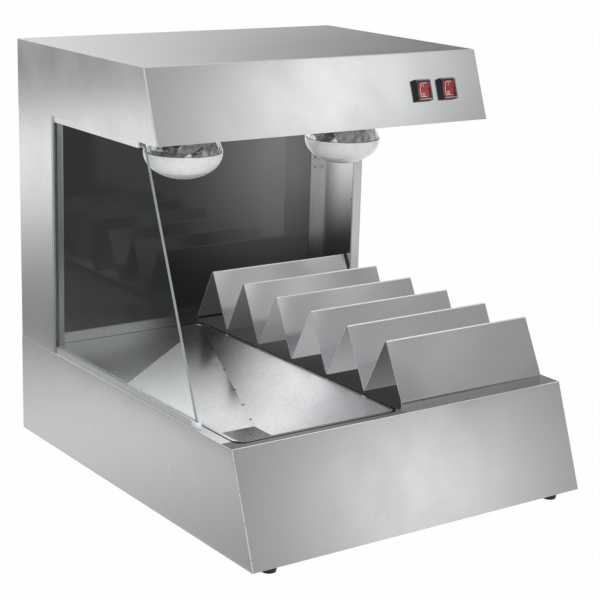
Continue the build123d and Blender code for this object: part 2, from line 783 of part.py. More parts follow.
def bulb(x, inset):
    """Reflector bulb as a solid of revolution, with its wall taken in by an inset."""
    face_z = lamp_top - lamp_length
    radius = lamp_diameter / 2 - inset
    belt = face_z + lamp_dome
    neck = neck_radius - inset
    waist = face_z + lamp_waist
    shoulder = lamp_top - cap_length
    face = face_z + inset
    dome = Spline((0, face), (radius * dome_bulge[0], face + (belt - face) * dome_bulge[1]), (radius, belt),
                  tangents=[(1, 0), (0, 1)])
    bulge = (radius * flank_bulge[0], belt + (waist - belt) * flank_bulge[1])
    flank = Spline((radius, belt), bulge, (neck, waist),
                   tangents=[(0, 1), (-0.25, 1)])
    throat = Polyline((neck, waist), (cap_radius - inset, shoulder), (0, shoulder), (0, face))
    outline = make_face(Curve() + [dome, flank, throat])
    body = revolve(Plane.XZ * outline, Axis.Z)
    return Pos(x, lamp_y, 0) * body


def lamp(x):
    """Frosted face, mirrored reflector, screw cap and centre contact of one lamp."""
    seam = lamp_top - lamp_length + lamp_frost
    shoulder = lamp_top - cap_length
    glass = bulb(x, 0) - bulb(x, lamp_glass)
    reach = lamp_diameter
    low = block(x - reach, x + reach, lamp_y - reach, lamp_y + reach, seam - reach, seam)
    high = block(x - reach, x + reach, lamp_y - reach, lamp_y + reach, seam, seam + 2 * reach)
    cap = rod(x, lamp_y, shoulder, lamp_top - contact_height, cap_radius)
    contact = rod(x, lamp_y, lamp_top - contact_height, lamp_top, contact_radius)
    return {"face": glass & low, "reflector": glass & high, "cap": cap, "contact": contact}


# ---------------------------------------------------------------- switches
def switch_housing(index):
    """Black bezel and neck with a window for the rocker and bores for its pins."""
    plane = switch_plane(index)
    bezel = Pos(0, 0, bezel_proud / 2) * Box(bezel_width, bezel_height, bezel_proud)
    bezel = fillet(bezel.edges().filter_by(Axis.Z), bezel_corner)
    bezel = chamfer(bezel.faces().sort_by(Axis.Z)[-1].edges(), bezel_chamfer)
    neck = Pos(0, 0, -switch_neck_depth / 2) * Box(switch_neck_width, switch_neck_height, switch_neck_depth)
    window_floor = rocker_axis_proud - rocker_radius() - window_floor_gap
    window = block(-window_width / 2, window_width / 2, -window_height / 2, window_height / 2,
                   window_floor, bezel_proud + cut)
    bore_end = window_width / 2 + pin_bite + pin_end_gap
    bore = rod_x(0, rocker_axis_proud, -bore_end, bore_end, pin_radius + pin_gap)
    return plane * (bezel + neck - window - bore)


def switch_cover(index):
    """Clear cap over the rocker, seated on the bezel's face."""
    width_out = window_width + 2 * (cover_rim + cover_wall)
    height_out = window_height + 2 * (cover_rim + cover_wall)
    cap = Pos(0, 0, bezel_proud + cover_height / 2) * Box(width_out, height_out, cover_height)
    cap = fillet(cap.edges().filter_by(Axis.Z) + cap.faces().sort_by(Axis.Z)[-1].edges(), cover_round)
    inner = Box(width_out - 2 * cover_wall, height_out - 2 * cover_wall, cover_height)
    inner = fillet(inner.edges().filter_by(Axis.Z) + inner.faces().sort_by(Axis.Z)[-1].edges(),
                   cover_round - cover_wall)
    return switch_plane(index) * (cap - Pos(0, 0, bezel_proud + cover_height / 2 - cover_wall) * inner)


def rocker_radius():
    """Radius that the rocker's ends turn on."""
    return window_height / 2 - rocker_gap


def rocker(index):
    """Rocker with two slopes to its top and pins in the housing, tilted to its off place."""
    radius = rocker_radius()
    end = math.radians(rocker_end_angle)
    root = math.asin(rocker_root / radius)
    high = (radius * math.cos(end), radius * math.sin(end))
    low = (radius * math.cos(root), -rocker_root)
    right = Polyline((0, rocker_dip), high) + ThreePointArc(high, (radius, 0), low)
    left = Polyline((-low[0], low[1]), low)
    back = ThreePointArc((-low[0], low[1]), (-radius, 0), (-high[0], high[1]))
    back += Polyline((-high[0], high[1]), (0, rocker_dip))
    outline = make_face(right + left + back)
    body = extrude(Plane.YZ * outline, amount=window_width / 2 - rocker_gap, both=True)
    body += rod_x(0, 0, -window_width / 2 - pin_bite, window_width / 2 + pin_bite, pin_radius)
    return switch_plane(index) * (Pos(0, 0, rocker_axis_proud) * Rot(rocker_tilt, 0, 0) * body)


def switch_blades():
    """Four brass blades on the back of each switch."""
    blades = []
    for index in range(switch_count):
        for x in (-switch_neck_width / 4, switch_neck_width / 4):
            for y in (-switch_neck_height / 4, switch_neck_height / 4):
                blade = Box(blade_width, blade_sheet, blade_length)
                blade = Pos(x, y, -switch_neck_depth - blade_length / 2) * blade
                blades.append(switch_plane(index) * blade)
    return blades


# ---------------------------------------------------------------- electrical pieces
def well(index):
    """Bottom of one of the terminal block's wells, where a wire ends on its screw."""
    return (half - block_from_right + index * block_pitch, behind(block_from_back),
            block_z + block_height - well_depth + well_screw)


def terminal_block():
    """Terminal block on the hood's underside panel."""
    x, y = half - block_from_right, behind(block_from_back)
    body = block(x - block_length / 2, x + block_length / 2, y - block_width / 2, y + block_width / 2,
                 block_z, block_z + block_height)
    for index in wells:
        px, py, _ = well(index)
        body -= rod(px, py, block_z + block_height - well_depth, block_z + block_height + cut, well_radius)
    return body


def terminal_screws():
    """Clamp screws in the terminal block's wells."""
    screws = []
    for index in wells:
        x, y, z = well(index)
        screws.append(rod(x, y, z - well_screw, z, well_radius - screw_gap))
    return screws


def earth_stud():
    """Earth stud on the hood's underside panel."""
    x, y = half - stud_from_right, behind(stud_from_back)
    nut = extrude(Pos(x, y, block_z) * RegularPolygon(bolt_head_radius * hex_across, 6),
                  amount=stud_nut_height, dir=(0, 0, 1))
    return nut + rod(x, y, block_z, block_z + stud_length, stud_radius)


def cable_gland():
    """Cable entry bush through the hood's rear panel, with a bore for the supply cable."""
    x, z = half - gland_from_right, z_hood + gland_level
    rear = y_back - sheet - gland_nut - gland_tail
    body = rod_y(x, z, rear, y_back + gland_flange, gland_radius)
    body += rod_y(x, z, y_back, y_back + gland_flange, gland_flange_radius)
    taper = Pos(x, y_back + (gland_flange + gland_reach) / 2, z) * Rot(90, 0, 0)
    body += taper * Cone(gland_radius - gland_taper, gland_radius, gland_reach - gland_flange)
    return body - rod_y(x, z, rear - cut, y_back + gland_reach + cut, gland_bore)


def gland_lock_nut():
    """Nut that clamps the cable gland to the panel from inside."""
    x, z = half - gland_from_right, z_hood + gland_level
    face = Plane(origin=(x, y_back - sheet - gland_nut, z), z_dir=(0, 1, 0))
    nut = extrude(face * RegularPolygon(gland_flange_radius, 6), amount=gland_nut, dir=(0, 1, 0))
    return nut - rod_y(x, z, behind(gland_reach), y_back, gland_radius)


def wire(points):
    """Round wire along straight runs with bends of one radius."""
    path = FilletPolyline(*points, radius=wire_bend)
    start = Plane(origin=points[0], z_dir=Vector(*points[1]) - Vector(*points[0]))
    return sweep(start * Circle(wire_radius), path=path)


def blade_line(index, across, up):
    """Free end of one switch blade, and the point where its wire's straight lead ends."""
    ends = []
    for reach in (blade_length, blade_length + wire_lead):
        local = Pos(across * switch_neck_width / 4, up * switch_neck_height / 4, -switch_neck_depth - reach)
        ends.append((Location(switch_plane(index)) * local).position)
    return [(end.X, end.Y, end.Z) for end in ends]


def switched_wire(index, lamp_x):
    """Wire from a switch to the side of its lampholder."""
    tip, lead = blade_line(index, -1, -1)
    edge = lamp_x + holder_radius
    level = lamp_top - cap_length / 2
    return wire([tip, lead, (edge + wire_clear, lamp_y, lead[2]), (edge + wire_clear, lamp_y, level),
                 (edge, lamp_y, level)])


def feed_wire(index):
    """Live wire from an end terminal to a switch."""
    tip, lead = blade_line(index, 1, 1)
    x, y, z = well((wells[0], wells[-1])[index])
    return wire([tip, lead, (x, y, lead[2]), (x, y, z)])


def neutral_wire(index, lamp_x):
    """Neutral wire from a terminal to the back of a lampholder."""
    x, y, z = well((1, -1)[index])
    level = lamp_top - cap_length / 2 + (1 - index) * wire_clear / 2
    holder_back = lamp_y + holder_radius
    return wire([(x, y, z), (x, y, level), (lamp_x, holder_back + wire_clear, level),
                 (lamp_x, holder_back, level)])


def earth_wire():
    """Earth wire from the middle terminal to the stud."""
    x, y, z = well(0)
    stud_x, stud_y = half - stud_from_right, behind(stud_from_back)
    level = z + wire_clear
    return wire([(x, y, z), (x, y, level), (stud_x, stud_y, level), (stud_x, stud_y, block_z + stud_length)])


def wiring():
    """All wires inside the hood."""
    wires = [earth_wire()]
    for index, (_, lamp_x) in enumerate(lamp_sides):
        wires += [switched_wire(index, lamp_x), feed_wire(index), neutral_wire(index, lamp_x)]
    return wires


# ---------------------------------------------------------------- build
def main():
    """Build every node and write its file."""
    os.makedirs("parts", exist_ok=True)
    save("base_shell", base_shell())
    save("base_bottom_plate", base_bottom_plate())
    save("bottom_plate_screws",
         *[screw_up(x, y, z_base, small_screw_length) for x, y in bottom_screw_places()])
    for name, (x, y) in foot_places().items():
        save(f"foot_{name}", foot(x, y))
    save("foot_bolts", *[foot_bolt(x, y) for x, y in foot_places().values()])
    save("pan_seat_frame", pan_seat_frame())
    save("chip_pan", chip_pan())
    save("crumb_tray", crumb_tray())
    save("rib_rack", rib_rack())
    save("left_column", column(-1))
    save("right_column", column(1))
    save("column_bolts", *column_bolts())
    save("back_glass", back_glass())
    save("back_glass_channel_left", back_channel(-1))
    save("back_glass_channel_right", back_channel(1))
    save("channel_rivets", *channel_rivets())
    save("column_rivets", *column_rivets())
    save("deck_rivets", *deck_rivets())
    for name, channel in side_channels().items():
        save(name, channel)
    save("side_glass_seals", *side_seals())
    save("side_glass", side_glass())
    save("side_glass_stop", side_glass_stop())
    save("hood_shell", hood_shell())
    save("hood_underside_panel", hood_underside_panel())
    save("underside_panel_screws",
         *[screw_up(x, y, z_hood, small_screw_length) for x, y in underside_screw_places()])
    save("hood_rear_panel", hood_rear_panel())
    save("rear_panel_screws", *rear_panel_screws())
    save("lamp_rail", lamp_rail())
    save("lampholder_screws", *holder_screws())
    for name, x in lamp_sides:
        save(f"lampholder_{name}", lampholder(x))
        save(f"lampholder_sleeve_{name}", holder_sleeve(x))
        for piece, solid in lamp(x).items():
            save(f"lamp_{name}_{piece}", solid)
    for index, name in enumerate(("left", "right")):
        save(f"switch_housing_{name}", switch_housing(index))
        save(f"switch_rocker_{name}", rocker(index))
        save(f"switch_cover_{name}", switch_cover(index))
    save("switch_blades", *switch_blades())
    save("terminal_block", terminal_block())
    save("terminal_screws", *terminal_screws())
    save("earth_stud", earth_stud())
    save("cable_gland", cable_gland())
    save("gland_lock_nut", gland_lock_nut())
    save("hood_wiring", *wiring())


main()
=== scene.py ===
"""Looks of a counter-top chip warmer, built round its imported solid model.

The solid model gives every size and place: screws, rivets, lamps and the rack are read from its boxes
and its loose solids. Sizes that belong to the looks alone are fields of the classes, in millimetres where
the name ends in mm and in metres elsewhere, and angles between faces are degrees.
"""

import json
import logging
import math
import random
from dataclasses import dataclass
from enum import Enum
from typing import Any, Iterable, Protocol

import bmesh
import bpy
from mathutils import Matrix, Vector
from mathutils.bvhtree import BVHTree

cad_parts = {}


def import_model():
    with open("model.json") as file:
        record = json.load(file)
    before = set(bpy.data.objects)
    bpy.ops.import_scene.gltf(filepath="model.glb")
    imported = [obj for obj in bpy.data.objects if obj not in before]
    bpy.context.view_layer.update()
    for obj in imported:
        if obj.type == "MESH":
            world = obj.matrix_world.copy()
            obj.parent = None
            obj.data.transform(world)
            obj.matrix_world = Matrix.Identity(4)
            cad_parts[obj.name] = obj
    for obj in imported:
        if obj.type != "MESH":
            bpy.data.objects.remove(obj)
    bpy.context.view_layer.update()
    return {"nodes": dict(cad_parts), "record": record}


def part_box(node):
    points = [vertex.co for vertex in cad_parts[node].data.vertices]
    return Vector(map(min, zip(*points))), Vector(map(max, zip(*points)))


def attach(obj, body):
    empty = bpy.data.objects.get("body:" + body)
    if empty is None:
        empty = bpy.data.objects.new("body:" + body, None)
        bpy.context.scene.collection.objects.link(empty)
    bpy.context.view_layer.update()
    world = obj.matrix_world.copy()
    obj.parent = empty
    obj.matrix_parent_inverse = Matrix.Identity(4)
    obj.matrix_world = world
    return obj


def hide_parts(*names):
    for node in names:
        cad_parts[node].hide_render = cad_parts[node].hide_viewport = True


MM = 0.001
MERGE = 1e-6                            # points nearer than this many metres are one
CABINET = "cabinet"
LEAN = math.radians(20.0)               # how far the fronts of the base and the hood lean back
FRONT_OUT = Vector((0, -math.cos(LEAN), math.sin(LEAN)))    # straight out of those fronts
FRONT_UP = Vector((0, math.sin(LEAN), math.cos(LEAN)))      # up along them
GLASS_IOR = 1.5
COLOUR_A, COLOUR_B, COLOUR_OUT = 6, 7, 2                    # sockets of a Mix node that mixes colours

log = logging.getLogger("chip_warmer")

Point = tuple[float, float, float]
FlatPoint = tuple[float, float]
Spread = tuple[float, float]

UPWARD: Point = (0.0, 0.0, 1.0)
DOWNWARD: Point = (0.0, 0.0, -1.0)
TO_FRONT: Point = (0.0, -1.0, 0.0)
TO_BACK: Point = (0.0, 1.0, 0.0)
TO_LEFT: Point = (-1.0, 0.0, 0.0)
TO_RIGHT: Point = (1.0, 0.0, 0.0)


# ---------------------------------------------------------------- small helpers
def linear(hex_colour: str) -> tuple[float, float, float, float]:
    """Turns an sRGB colour into linear light.

    Args:
        hex_colour: colour such as "#c9cacb".

    Returns:
        Red, green, blue and an alpha of 1.
    """
    parts = [int(hex_colour[i:i + 2], 16) / 255 for i in (1, 3, 5)]
    red, green, blue = (c / 12.92 if c <= 0.04045 else ((c + 0.055) / 1.055) ** 2.4 for c in parts)
    return red, green, blue, 1.0


def add(tree: bpy.types.NodeTree, kind: str, inputs: dict[int | str, Any] | None = None,
        **settings: Any) -> bpy.types.Node:
    """Adds a node with its settings, its constant inputs and its links.

    Args:
        tree: node tree that takes the node.
        kind: type name of the node.
        inputs: value or output socket for each input, by index or name.
        settings: attributes of the node.

    Returns:
        The new node.
    """
    node = tree.nodes.new(kind)
    for key, value in settings.items():
        setattr(node, key, value)
    for key, value in (inputs or {}).items():
        if isinstance(value, bpy.types.NodeSocket):
            tree.links.new(value, node.inputs[key])
        else:
            node.inputs[key].default_value = value
    return node


def mesh_object(name: str, vertices: Iterable[Point], faces: Iterable[Iterable[int]],
                smooth: float | None = None) -> bpy.types.Object:
    """Makes an object at the origin from points and faces.

    Args:
        name: name of the piece.
        vertices: points in metres.
        faces: corner indices of each face.
        smooth: edges sharper than this many degrees stay sharp; None leaves flat faces.

    Returns:
        The new object.
    """
    mesh = bpy.data.meshes.new(name)
    mesh.from_pydata([tuple(v) for v in vertices], [], [tuple(f) for f in faces])
    tidy_normals(mesh)
    if smooth is not None:
        mesh.shade_smooth()
        mesh.set_sharp_from_angle(angle=math.radians(smooth))
    piece = bpy.data.objects.new(name, mesh)
    bpy.context.scene.collection.objects.link(piece)
    return piece


def tidy_normals(mesh: bpy.types.Mesh) -> None:
    """Merges doubles and turns every face outwards.

    Args:
        mesh: closed mesh to tidy.
    """
    work = bmesh.new()
    work.from_mesh(mesh)
    bmesh.ops.remove_doubles(work, verts=work.verts, dist=MERGE)
    bmesh.ops.recalc_face_normals(work, faces=work.faces)
    work.to_mesh(mesh)
    work.free()


def lathe(name: str, profile: list[FlatPoint], centre: Vector, steps: int,
          smooth: float) -> bpy.types.Object:
    """Turns a closed profile round an upright axis.

    Args:
        name: name of the piece.
        profile: radius and height of each point, in metres; a point on the axis has a radius of 0.
        centre: foot of the axis.
        steps: faces round the axis.
        smooth: edges sharper than this many degrees stay sharp.

    Returns:
        The turned piece.
    """
    turns = [2 * math.pi * s / steps for s in range(steps)]
    vertices = [(centre.x + r * math.cos(turn), centre.y + r * math.sin(turn), centre.z + z)
                for r, z in profile for turn in turns]
    faces = []
    count = len(profile)
    for row in range(count):
        following = (row + 1) % count
        if profile[row][0] == profile[following][0] == 0:
            continue
        for s in range(steps):
            t = (s + 1) % steps
            corners = [row * steps + s, row * steps + t, following * steps + t, following * steps + s]
            if profile[row][0] == 0:
                corners.pop(1)
            if profile[following][0] == 0:
                corners.pop()
            faces.append(corners)
    return mesh_object(name, vertices, faces, smooth)


def loose_solids(node: bpy.types.Object) -> list[tuple[Vector, Vector]]:
    """Finds the separate solids of a node.

    Args:
        node: a node of the solid model.

    Returns:
        Lowest and highest corner of each solid.
    """
    work = bmesh.new()
    work.from_mesh(node.data)
    bmesh.ops.remove_doubles(work, verts=work.verts, dist=MERGE)
    boxes, seen = [], set()
    for start in work.verts:
        if start in seen:
            continue
        seen.add(start)
        group, waiting = [], [start]
        while waiting:
            vert = waiting.pop()
            group.append(vert.co.copy())
            for edge in vert.link_edges:
                other = edge.other_vert(vert)
                if other not in seen:
                    seen.add(other)
                    waiting.append(other)
        boxes.append((Vector([min(c[i] for c in group) for i in range(3)]),
                      Vector([max(c[i] for c in group) for i in range(3)])))
    work.free()
    return boxes


def finished(piece: bpy.types.Object, body: str, slot: str, *nodes: str) -> None:
    """Joins a finished piece to its body and says what it stands for.

    Args:
        piece: the finished object, at the origin.
        body: body of the solid model that it moves with.
        slot: material slot of the record; not used.
        nodes: nodes that it stands for.
    """
    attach(piece, body)
    if nodes:
        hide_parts(*nodes)
    log.info("%s: %d faces, on %s%s", piece.name, len(piece.data.polygons), body,
             f", for {', '.join(nodes)}" if nodes else "")


# ---------------------------------------------------------------- finishes
class Finish(Protocol):
    """Anything that builds a material."""

    def build(self) -> bpy.types.Material:
        """Builds the material."""


def surface(name: str) -> tuple[bpy.types.Material, bpy.types.NodeTree]:
    """Starts an empty node material.

    Args:
        name: name of the material.

    Returns:
        The material and its node tree.
    """
    material = bpy.data.materials.new(name)
    material.use_nodes = True
    material.node_tree.nodes.clear()
    return material, material.node_tree


def close(tree: bpy.types.NodeTree, shader: bpy.types.Node) -> None:
    """Links a shader's first output to the material output."""
    add(tree, "ShaderNodeOutputMaterial", {"Surface": shader.outputs[0]})


def front_side(tree: bpy.types.NodeTree) -> bpy.types.NodeSocket:
    """Masks the side that a face points to, so that a pane with two faces shines once.

    Args:
        tree: node tree of the material.

    Returns:
        1 on the front of a face and 0 on its back.
    """
    back = add(tree, "ShaderNodeNewGeometry").outputs["Backfacing"]
    return add(tree, "ShaderNodeMath", {0: 1.0, 1: back}, operation="SUBTRACT").outputs[0]


def speckle(tree: bpy.types.NodeTree, size_mm: Point, detail: float = 2.0) -> bpy.types.NodeSocket:
    """Adds a noise in the piece's own coordinates.

    Args:
        tree: node tree of the material.
        size_mm: size of one grain of the noise along X, Y and Z.
        detail: finer layers on top of the first.

    Returns:
        The noise, about 0.5 in the middle.
    """
    place = add(tree, "ShaderNodeTexCoord").outputs["Object"]
    scaled = add(tree, "ShaderNodeMapping", {"Vector": place, "Scale": [1000 / s for s in size_mm]})
    pattern = add(tree, "ShaderNodeTexNoise", {"Vector": scaled.outputs[0], "Scale": 1.0, "Detail": detail})
    return pattern.outputs["Fac"]


def between(tree: bpy.types.NodeTree, amount: bpy.types.NodeSocket, low: float, high: float,
            start: float = 0.3, end: float = 0.7) -> bpy.types.NodeSocket:
    """Spreads a pattern over a range of values.

    Args:
        tree: node tree of the material.
        amount: pattern to spread.
        low: value at start.
        high: value at end.
        start: pattern value that gives low.
        end: pattern value that gives high.

    Returns:
        The spread pattern.
    """
    spread = add(tree, "ShaderNodeMapRange", {"Value": amount, "From Min": start, "From Max": end,
                                              "To Min": low, "To Max": high})
    return spread.outputs["Result"]


def tint(tree: bpy.types.NodeTree, amount: bpy.types.NodeSocket, first: str,
         second: str) -> bpy.types.NodeSocket:
    """Mixes two colours by a pattern.

    Args:
        tree: node tree of the material.
        amount: pattern from 0 to 1.
        first: hex colour at 0.
        second: hex colour at 1.

    Returns:
        The mixed colour.
    """
    mixed = add(tree, "ShaderNodeMix", {"Factor": amount, COLOUR_A: linear(first), COLOUR_B: linear(second)},
                data_type="RGBA")
    return mixed.outputs[COLOUR_OUT]


def relief(tree: bpy.types.NodeTree, height: bpy.types.NodeSocket, depth_mm: float,
           under: bpy.types.NodeSocket | None = None) -> bpy.types.NodeSocket:
    """Turns a pattern into a shallow relief.

    Args:
        tree: node tree of the material.
        height: pattern from 0 to 1.
        depth_mm: height of the relief in millimetres.
        under: normal of a coarser relief below this one.

    Returns:
        The bumped normal.
    """
    inputs = {"Height": height, "Distance": depth_mm * MM, "Strength": 1.0}
    if under is not None:
        inputs["Normal"] = under
    return add(tree, "ShaderNodeBump", inputs).outputs["Normal"]


class Grain(Enum):
    """How a sheet was polished: lines up its walls, lines across it, or rolled and not polished."""

    UPRIGHT = "upright"
    ACROSS = "across"
    MILL = "mill"


@dataclass(frozen=True)
class SheetSteel:
    """Stainless sheet, belt-polished or left as it was rolled.

    Belt polishing leaves fine parallel lines, which soften what it mirrors. The real lines are about
    0.1 mm apart; they are drawn coarser, so that they show. Rolled sheet has no lines, only a faint mottle.
    Long shallow waves, as any folded sheet has, bend what it mirrors.
    """

    name: str
    light: str = "#c8c9ca"
    dark: str = "#c2c3c5"
    roughness: float = 0.19
    uneven: Spread = (-0.02, 0.03)      # smoothest and roughest patches, from the roughness
    grain: Grain = Grain.UPRIGHT
    line_mm: float = 0.9
    line_length_mm: float = 30.0
    line_depth_mm: float = 0.0012
    mottle_lines: float = 6.0           # a rolled sheet's mottle, in widths of a polishing line
    level_over: float = 0.7             # a face is level if its normal points up or down by more
    wave_mm: float = 240.0
    wave_depth_mm: float = 0.12
    painted_highlight: str = ""                  # painted highlight on the sheared ends and crests of an open sheet
    end_over: float = 0.9               # a face is a sheared end if its normal points sideways by more
    crest_over: float = 0.62            # a face is on a highlighted crest if its normal points up by more
    highlight_rougher: float = 0.3

    def line_pattern(self, tree: bpy.types.NodeTree) -> bpy.types.NodeSocket:
        """Draws the polishing lines: upright on walls and, on level faces, from front to back.

        Args:
            tree: node tree of the material.

        Returns:
            The pattern.
        """
        line, length = self.line_mm, self.line_length_mm
        if self.grain is Grain.MILL:
            return speckle(tree, (self.mottle_lines * line,) * 3, 4.0)
        if self.grain is Grain.ACROSS:
            return speckle(tree, (length, line, line))
        upright = speckle(tree, (line, line, length))
        level = speckle(tree, (line, length, line))
        normal = add(tree, "ShaderNodeTexCoord").outputs["Normal"]
        up = add(tree, "ShaderNodeSeparateXYZ", {0: normal}).outputs["Z"]
        flat = add(tree, "ShaderNodeMath", {0: up}, operation="ABSOLUTE").outputs[0]
        chosen = add(tree, "ShaderNodeMath", {0: flat, 1: self.level_over},
                     operation="GREATER_THAN").outputs[0]
        return add(tree, "ShaderNodeMix", {"Factor": chosen, "A": upright, "B": level}).outputs[0]

    def painted_highlight_mask(self, tree: bpy.types.NodeTree) -> bpy.types.NodeSocket:
        """Finds the sheared ends and the crests of an open sheet, where a highlight is painted.

        Args:
            tree: node tree of the material.

        Returns:
            1 on them and 0 elsewhere.
        """
        facing = add(tree, "ShaderNodeSeparateXYZ", {0: add(tree, "ShaderNodeTexCoord").outputs["Normal"]})
        side = add(tree, "ShaderNodeMath", {0: facing.outputs["X"]}, operation="ABSOLUTE").outputs[0]
        end = add(tree, "ShaderNodeMath", {0: side, 1: self.end_over}, operation="GREATER_THAN").outputs[0]
        crest = add(tree, "ShaderNodeMath", {0: facing.outputs["Z"], 1: self.crest_over},
                    operation="GREATER_THAN").outputs[0]
        return add(tree, "ShaderNodeMath", {0: end, 1: crest}, operation="MAXIMUM").outputs[0]

    def build(self) -> bpy.types.Material:
        """Builds the material.

        Returns:
            The material.
        """
        material, tree = surface(self.name)
        lines = self.line_pattern(tree)
        patches = speckle(tree, (self.wave_mm / 3,) * 3, 3.0)
        waves = relief(tree, speckle(tree, (self.wave_mm,) * 3, 0.0), self.wave_depth_mm)
        normal = relief(tree, lines, self.line_depth_mm, waves)
        colour = tint(tree, between(tree, lines, 0.0, 1.0), self.dark, self.light)
        rough = between(tree, patches, self.roughness + self.uneven[0], self.roughness + self.uneven[1])
        if self.painted_highlight:
            # painted highlight: white and a little rougher on the sheared ends and crests
            cut = self.painted_highlight_mask(tree)
            colour = add(tree, "ShaderNodeMix", {
                "Factor": cut, COLOUR_A: colour, COLOUR_B: linear(self.painted_highlight)},
                data_type="RGBA").outputs[COLOUR_OUT]
            rough = add(tree, "ShaderNodeMath", {0: cut, 1: self.highlight_rougher, 2: rough},
                        operation="MULTIPLY_ADD").outputs[0]
        shader = add(tree, "ShaderNodeBsdfPrincipled", {
            "Base Color": colour, "Metallic": 1.0, "Normal": normal, "Roughness": rough})
        close(tree, shader)
        return material


@dataclass(frozen=True)
class TintedPane:
    """Dark coated float glass: near black all through, and a clean mirror of whatever is bright."""

    name: str = "dark float glass"
    body: str = "#0c0d0e"
    haze: str = "#141516"
    roughness: float = 0.03
    dust_rougher: float = 0.03
    dust_mm: Point = (40.0, 40.0, 90.0)
    coating: float = 1.8        # IOR: the pane's metal-oxide film mirrors more than bare glass

    def build(self) -> bpy.types.Material:
        """Builds the material.

        Returns:
            The material.
        """
        material, tree = surface(self.name)
        dust = speckle(tree, self.dust_mm, 4.0)
        shader = add(tree, "ShaderNodeBsdfPrincipled", {
            "Base Color": tint(tree, between(tree, dust, 0.0, 1.0), self.body, self.haze),
            "Roughness": between(tree, dust, self.roughness, self.roughness + self.dust_rougher),
            "IOR": self.coating})
        close(tree, shader)
        return material


@dataclass(frozen=True)
class ClearPane:
    """Clear float glass with ground edges: the faces nearly vanish and the edges show grey.

    The faces mirror a little, as bare glass does, and carry a faint film of dust towards the foot.
    """

    name: str = "clear float glass"
    clear: str = "#fafcfb"
    ground_edge: str = "#6f7574"
    ground_light: str = "#858b8a"
    dust: str = "#d9dbdb"
    gloss_share: float = 0.5        # of what the pane's two faces mirror together
    dust_share: float = 0.05        # of the view that the dust hides at the foot
    dust_foot: float = 0.19         # height in metres up to which it lies thickest
    dust_top: float = 0.36          # height where it ends
    dust_mm: float = 60.0
    dust_cloud: Spread = (0.8, 1.2)
    face_over: float = 0.7          # a face is polished, and no edge, if its normal points sideways by more
    grit_mm: float = 2.0
    roughness: float = 0.01
    ground_roughness: float = 0.35

    def polished_face(self, tree: bpy.types.NodeTree) -> bpy.types.NodeSocket:
        """Makes the polished faces: see-through, a little mirroring, and a film of dust.

        Args:
            tree: node tree of the material.

        Returns:
            The shader.
        """
        front = front_side(tree)
        through = add(tree, "ShaderNodeBsdfTransparent", {"Color": linear(self.clear)})
        gloss = add(tree, "ShaderNodeBsdfGlossy", {"Color": linear(self.clear), "Roughness": self.roughness})
        fresnel = add(tree, "ShaderNodeFresnel", {"IOR": GLASS_IOR}).outputs[0]
        once = add(tree, "ShaderNodeMath", {0: fresnel, 1: front}, operation="MULTIPLY").outputs[0]
        share = add(tree, "ShaderNodeMath", {0: once, 1: 2 * self.gloss_share},
                    operation="MULTIPLY").outputs[0]
        clean = add(tree, "ShaderNodeMixShader", {0: share, 1: through.outputs[0], 2: gloss.outputs[0]})
        place = add(tree, "ShaderNodeTexCoord").outputs["Object"]
        height = add(tree, "ShaderNodeSeparateXYZ", {0: place}).outputs["Z"]
        film = between(tree, height, self.dust_share, 0.0, self.dust_foot, self.dust_top)
        cloud = between(tree, speckle(tree, (self.dust_mm,) * 3, 3.0), *self.dust_cloud)
        dusty = add(tree, "ShaderNodeMath", {0: film, 1: cloud}, operation="MULTIPLY").outputs[0]
        once_dusty = add(tree, "ShaderNodeMath", {0: dusty, 1: front}, operation="MULTIPLY").outputs[0]
        powder = add(tree, "ShaderNodeBsdfDiffuse", {"Color": linear(self.dust)})
        return add(tree, "ShaderNodeMixShader", {
            0: once_dusty, 1: clean.outputs[0], 2: powder.outputs[0]}).outputs[0]

    def build(self) -> bpy.types.Material:
        """Builds the material.

        Returns:
            The material.
        """
        material, tree = surface(self.name)
        normal = add(tree, "ShaderNodeTexCoord").outputs["Normal"]
        across = add(tree, "ShaderNodeSeparateXYZ", {0: normal}).outputs["X"]
        flat = add(tree, "ShaderNodeMath", {0: across}, operation="ABSOLUTE").outputs[0]
        edge = add(tree, "ShaderNodeMath", {0: flat, 1: self.face_over}, operation="LESS_THAN").outputs[0]
        grit = speckle(tree, (self.grit_mm,) * 3, 5.0)
        ground = add(tree, "ShaderNodeBsdfPrincipled", {
            "Base Color": tint(tree, between(tree, grit, 0.0, 1.0), self.ground_edge, self.ground_light),
            "Roughness": self.ground_roughness, "IOR": GLASS_IOR})
        face = self.polished_face(tree)
        close(tree, add(tree, "ShaderNodeMixShader", {0: edge, 1: face, 2: ground.outputs[0]}))
        return material


@dataclass(frozen=True)
class ClearPlastic:
    """Clear moulded vinyl: see-through, bright where it curves: partly its gloss, partly a painted highlight.
    """

    name: str
    colour: str = "#f4f7f8"
    cloud: str = "#e6eaec"
    see_through: float = 0.85
    rim_highlight_share: float = 0.8          # painted highlight: how much whitish body shows where it curves away
    rim_reach: Spread = (0.2, 0.6)
    rim_blend: float = 0.25
    cloud_mm: float = 3.0
    cloud_depth_mm: float = 0.01
    roughness: float = 0.12
    ior: float = 1.49

    def build(self) -> bpy.types.Material:
        """Builds the material.

        Returns:
            The material.
        """
        material, tree = surface(self.name)
        cloud = speckle(tree, (self.cloud_mm,) * 3, 3.0)
        body = add(tree, "ShaderNodeBsdfPrincipled", {
            "Base Color": tint(tree, between(tree, cloud, 0.0, 1.0), self.colour, self.cloud),
            "Roughness": self.roughness, "IOR": self.ior,
            "Normal": relief(tree, cloud, self.cloud_depth_mm)})
        through = add(tree, "ShaderNodeBsdfTransparent", {"Color": linear(self.colour)})
        rim = add(tree, "ShaderNodeLayerWeight", {"Blend": self.rim_blend})
        # partly gloss, partly painted highlight: the whitish body shows where the face turns away
        share = between(tree, rim.outputs["Facing"], 1 - self.see_through, self.rim_highlight_share, *self.rim_reach)
        close(tree, add(tree, "ShaderNodeMixShader", {0: share, 1: through.outputs[0], 2: body.outputs[0]}))
        return material


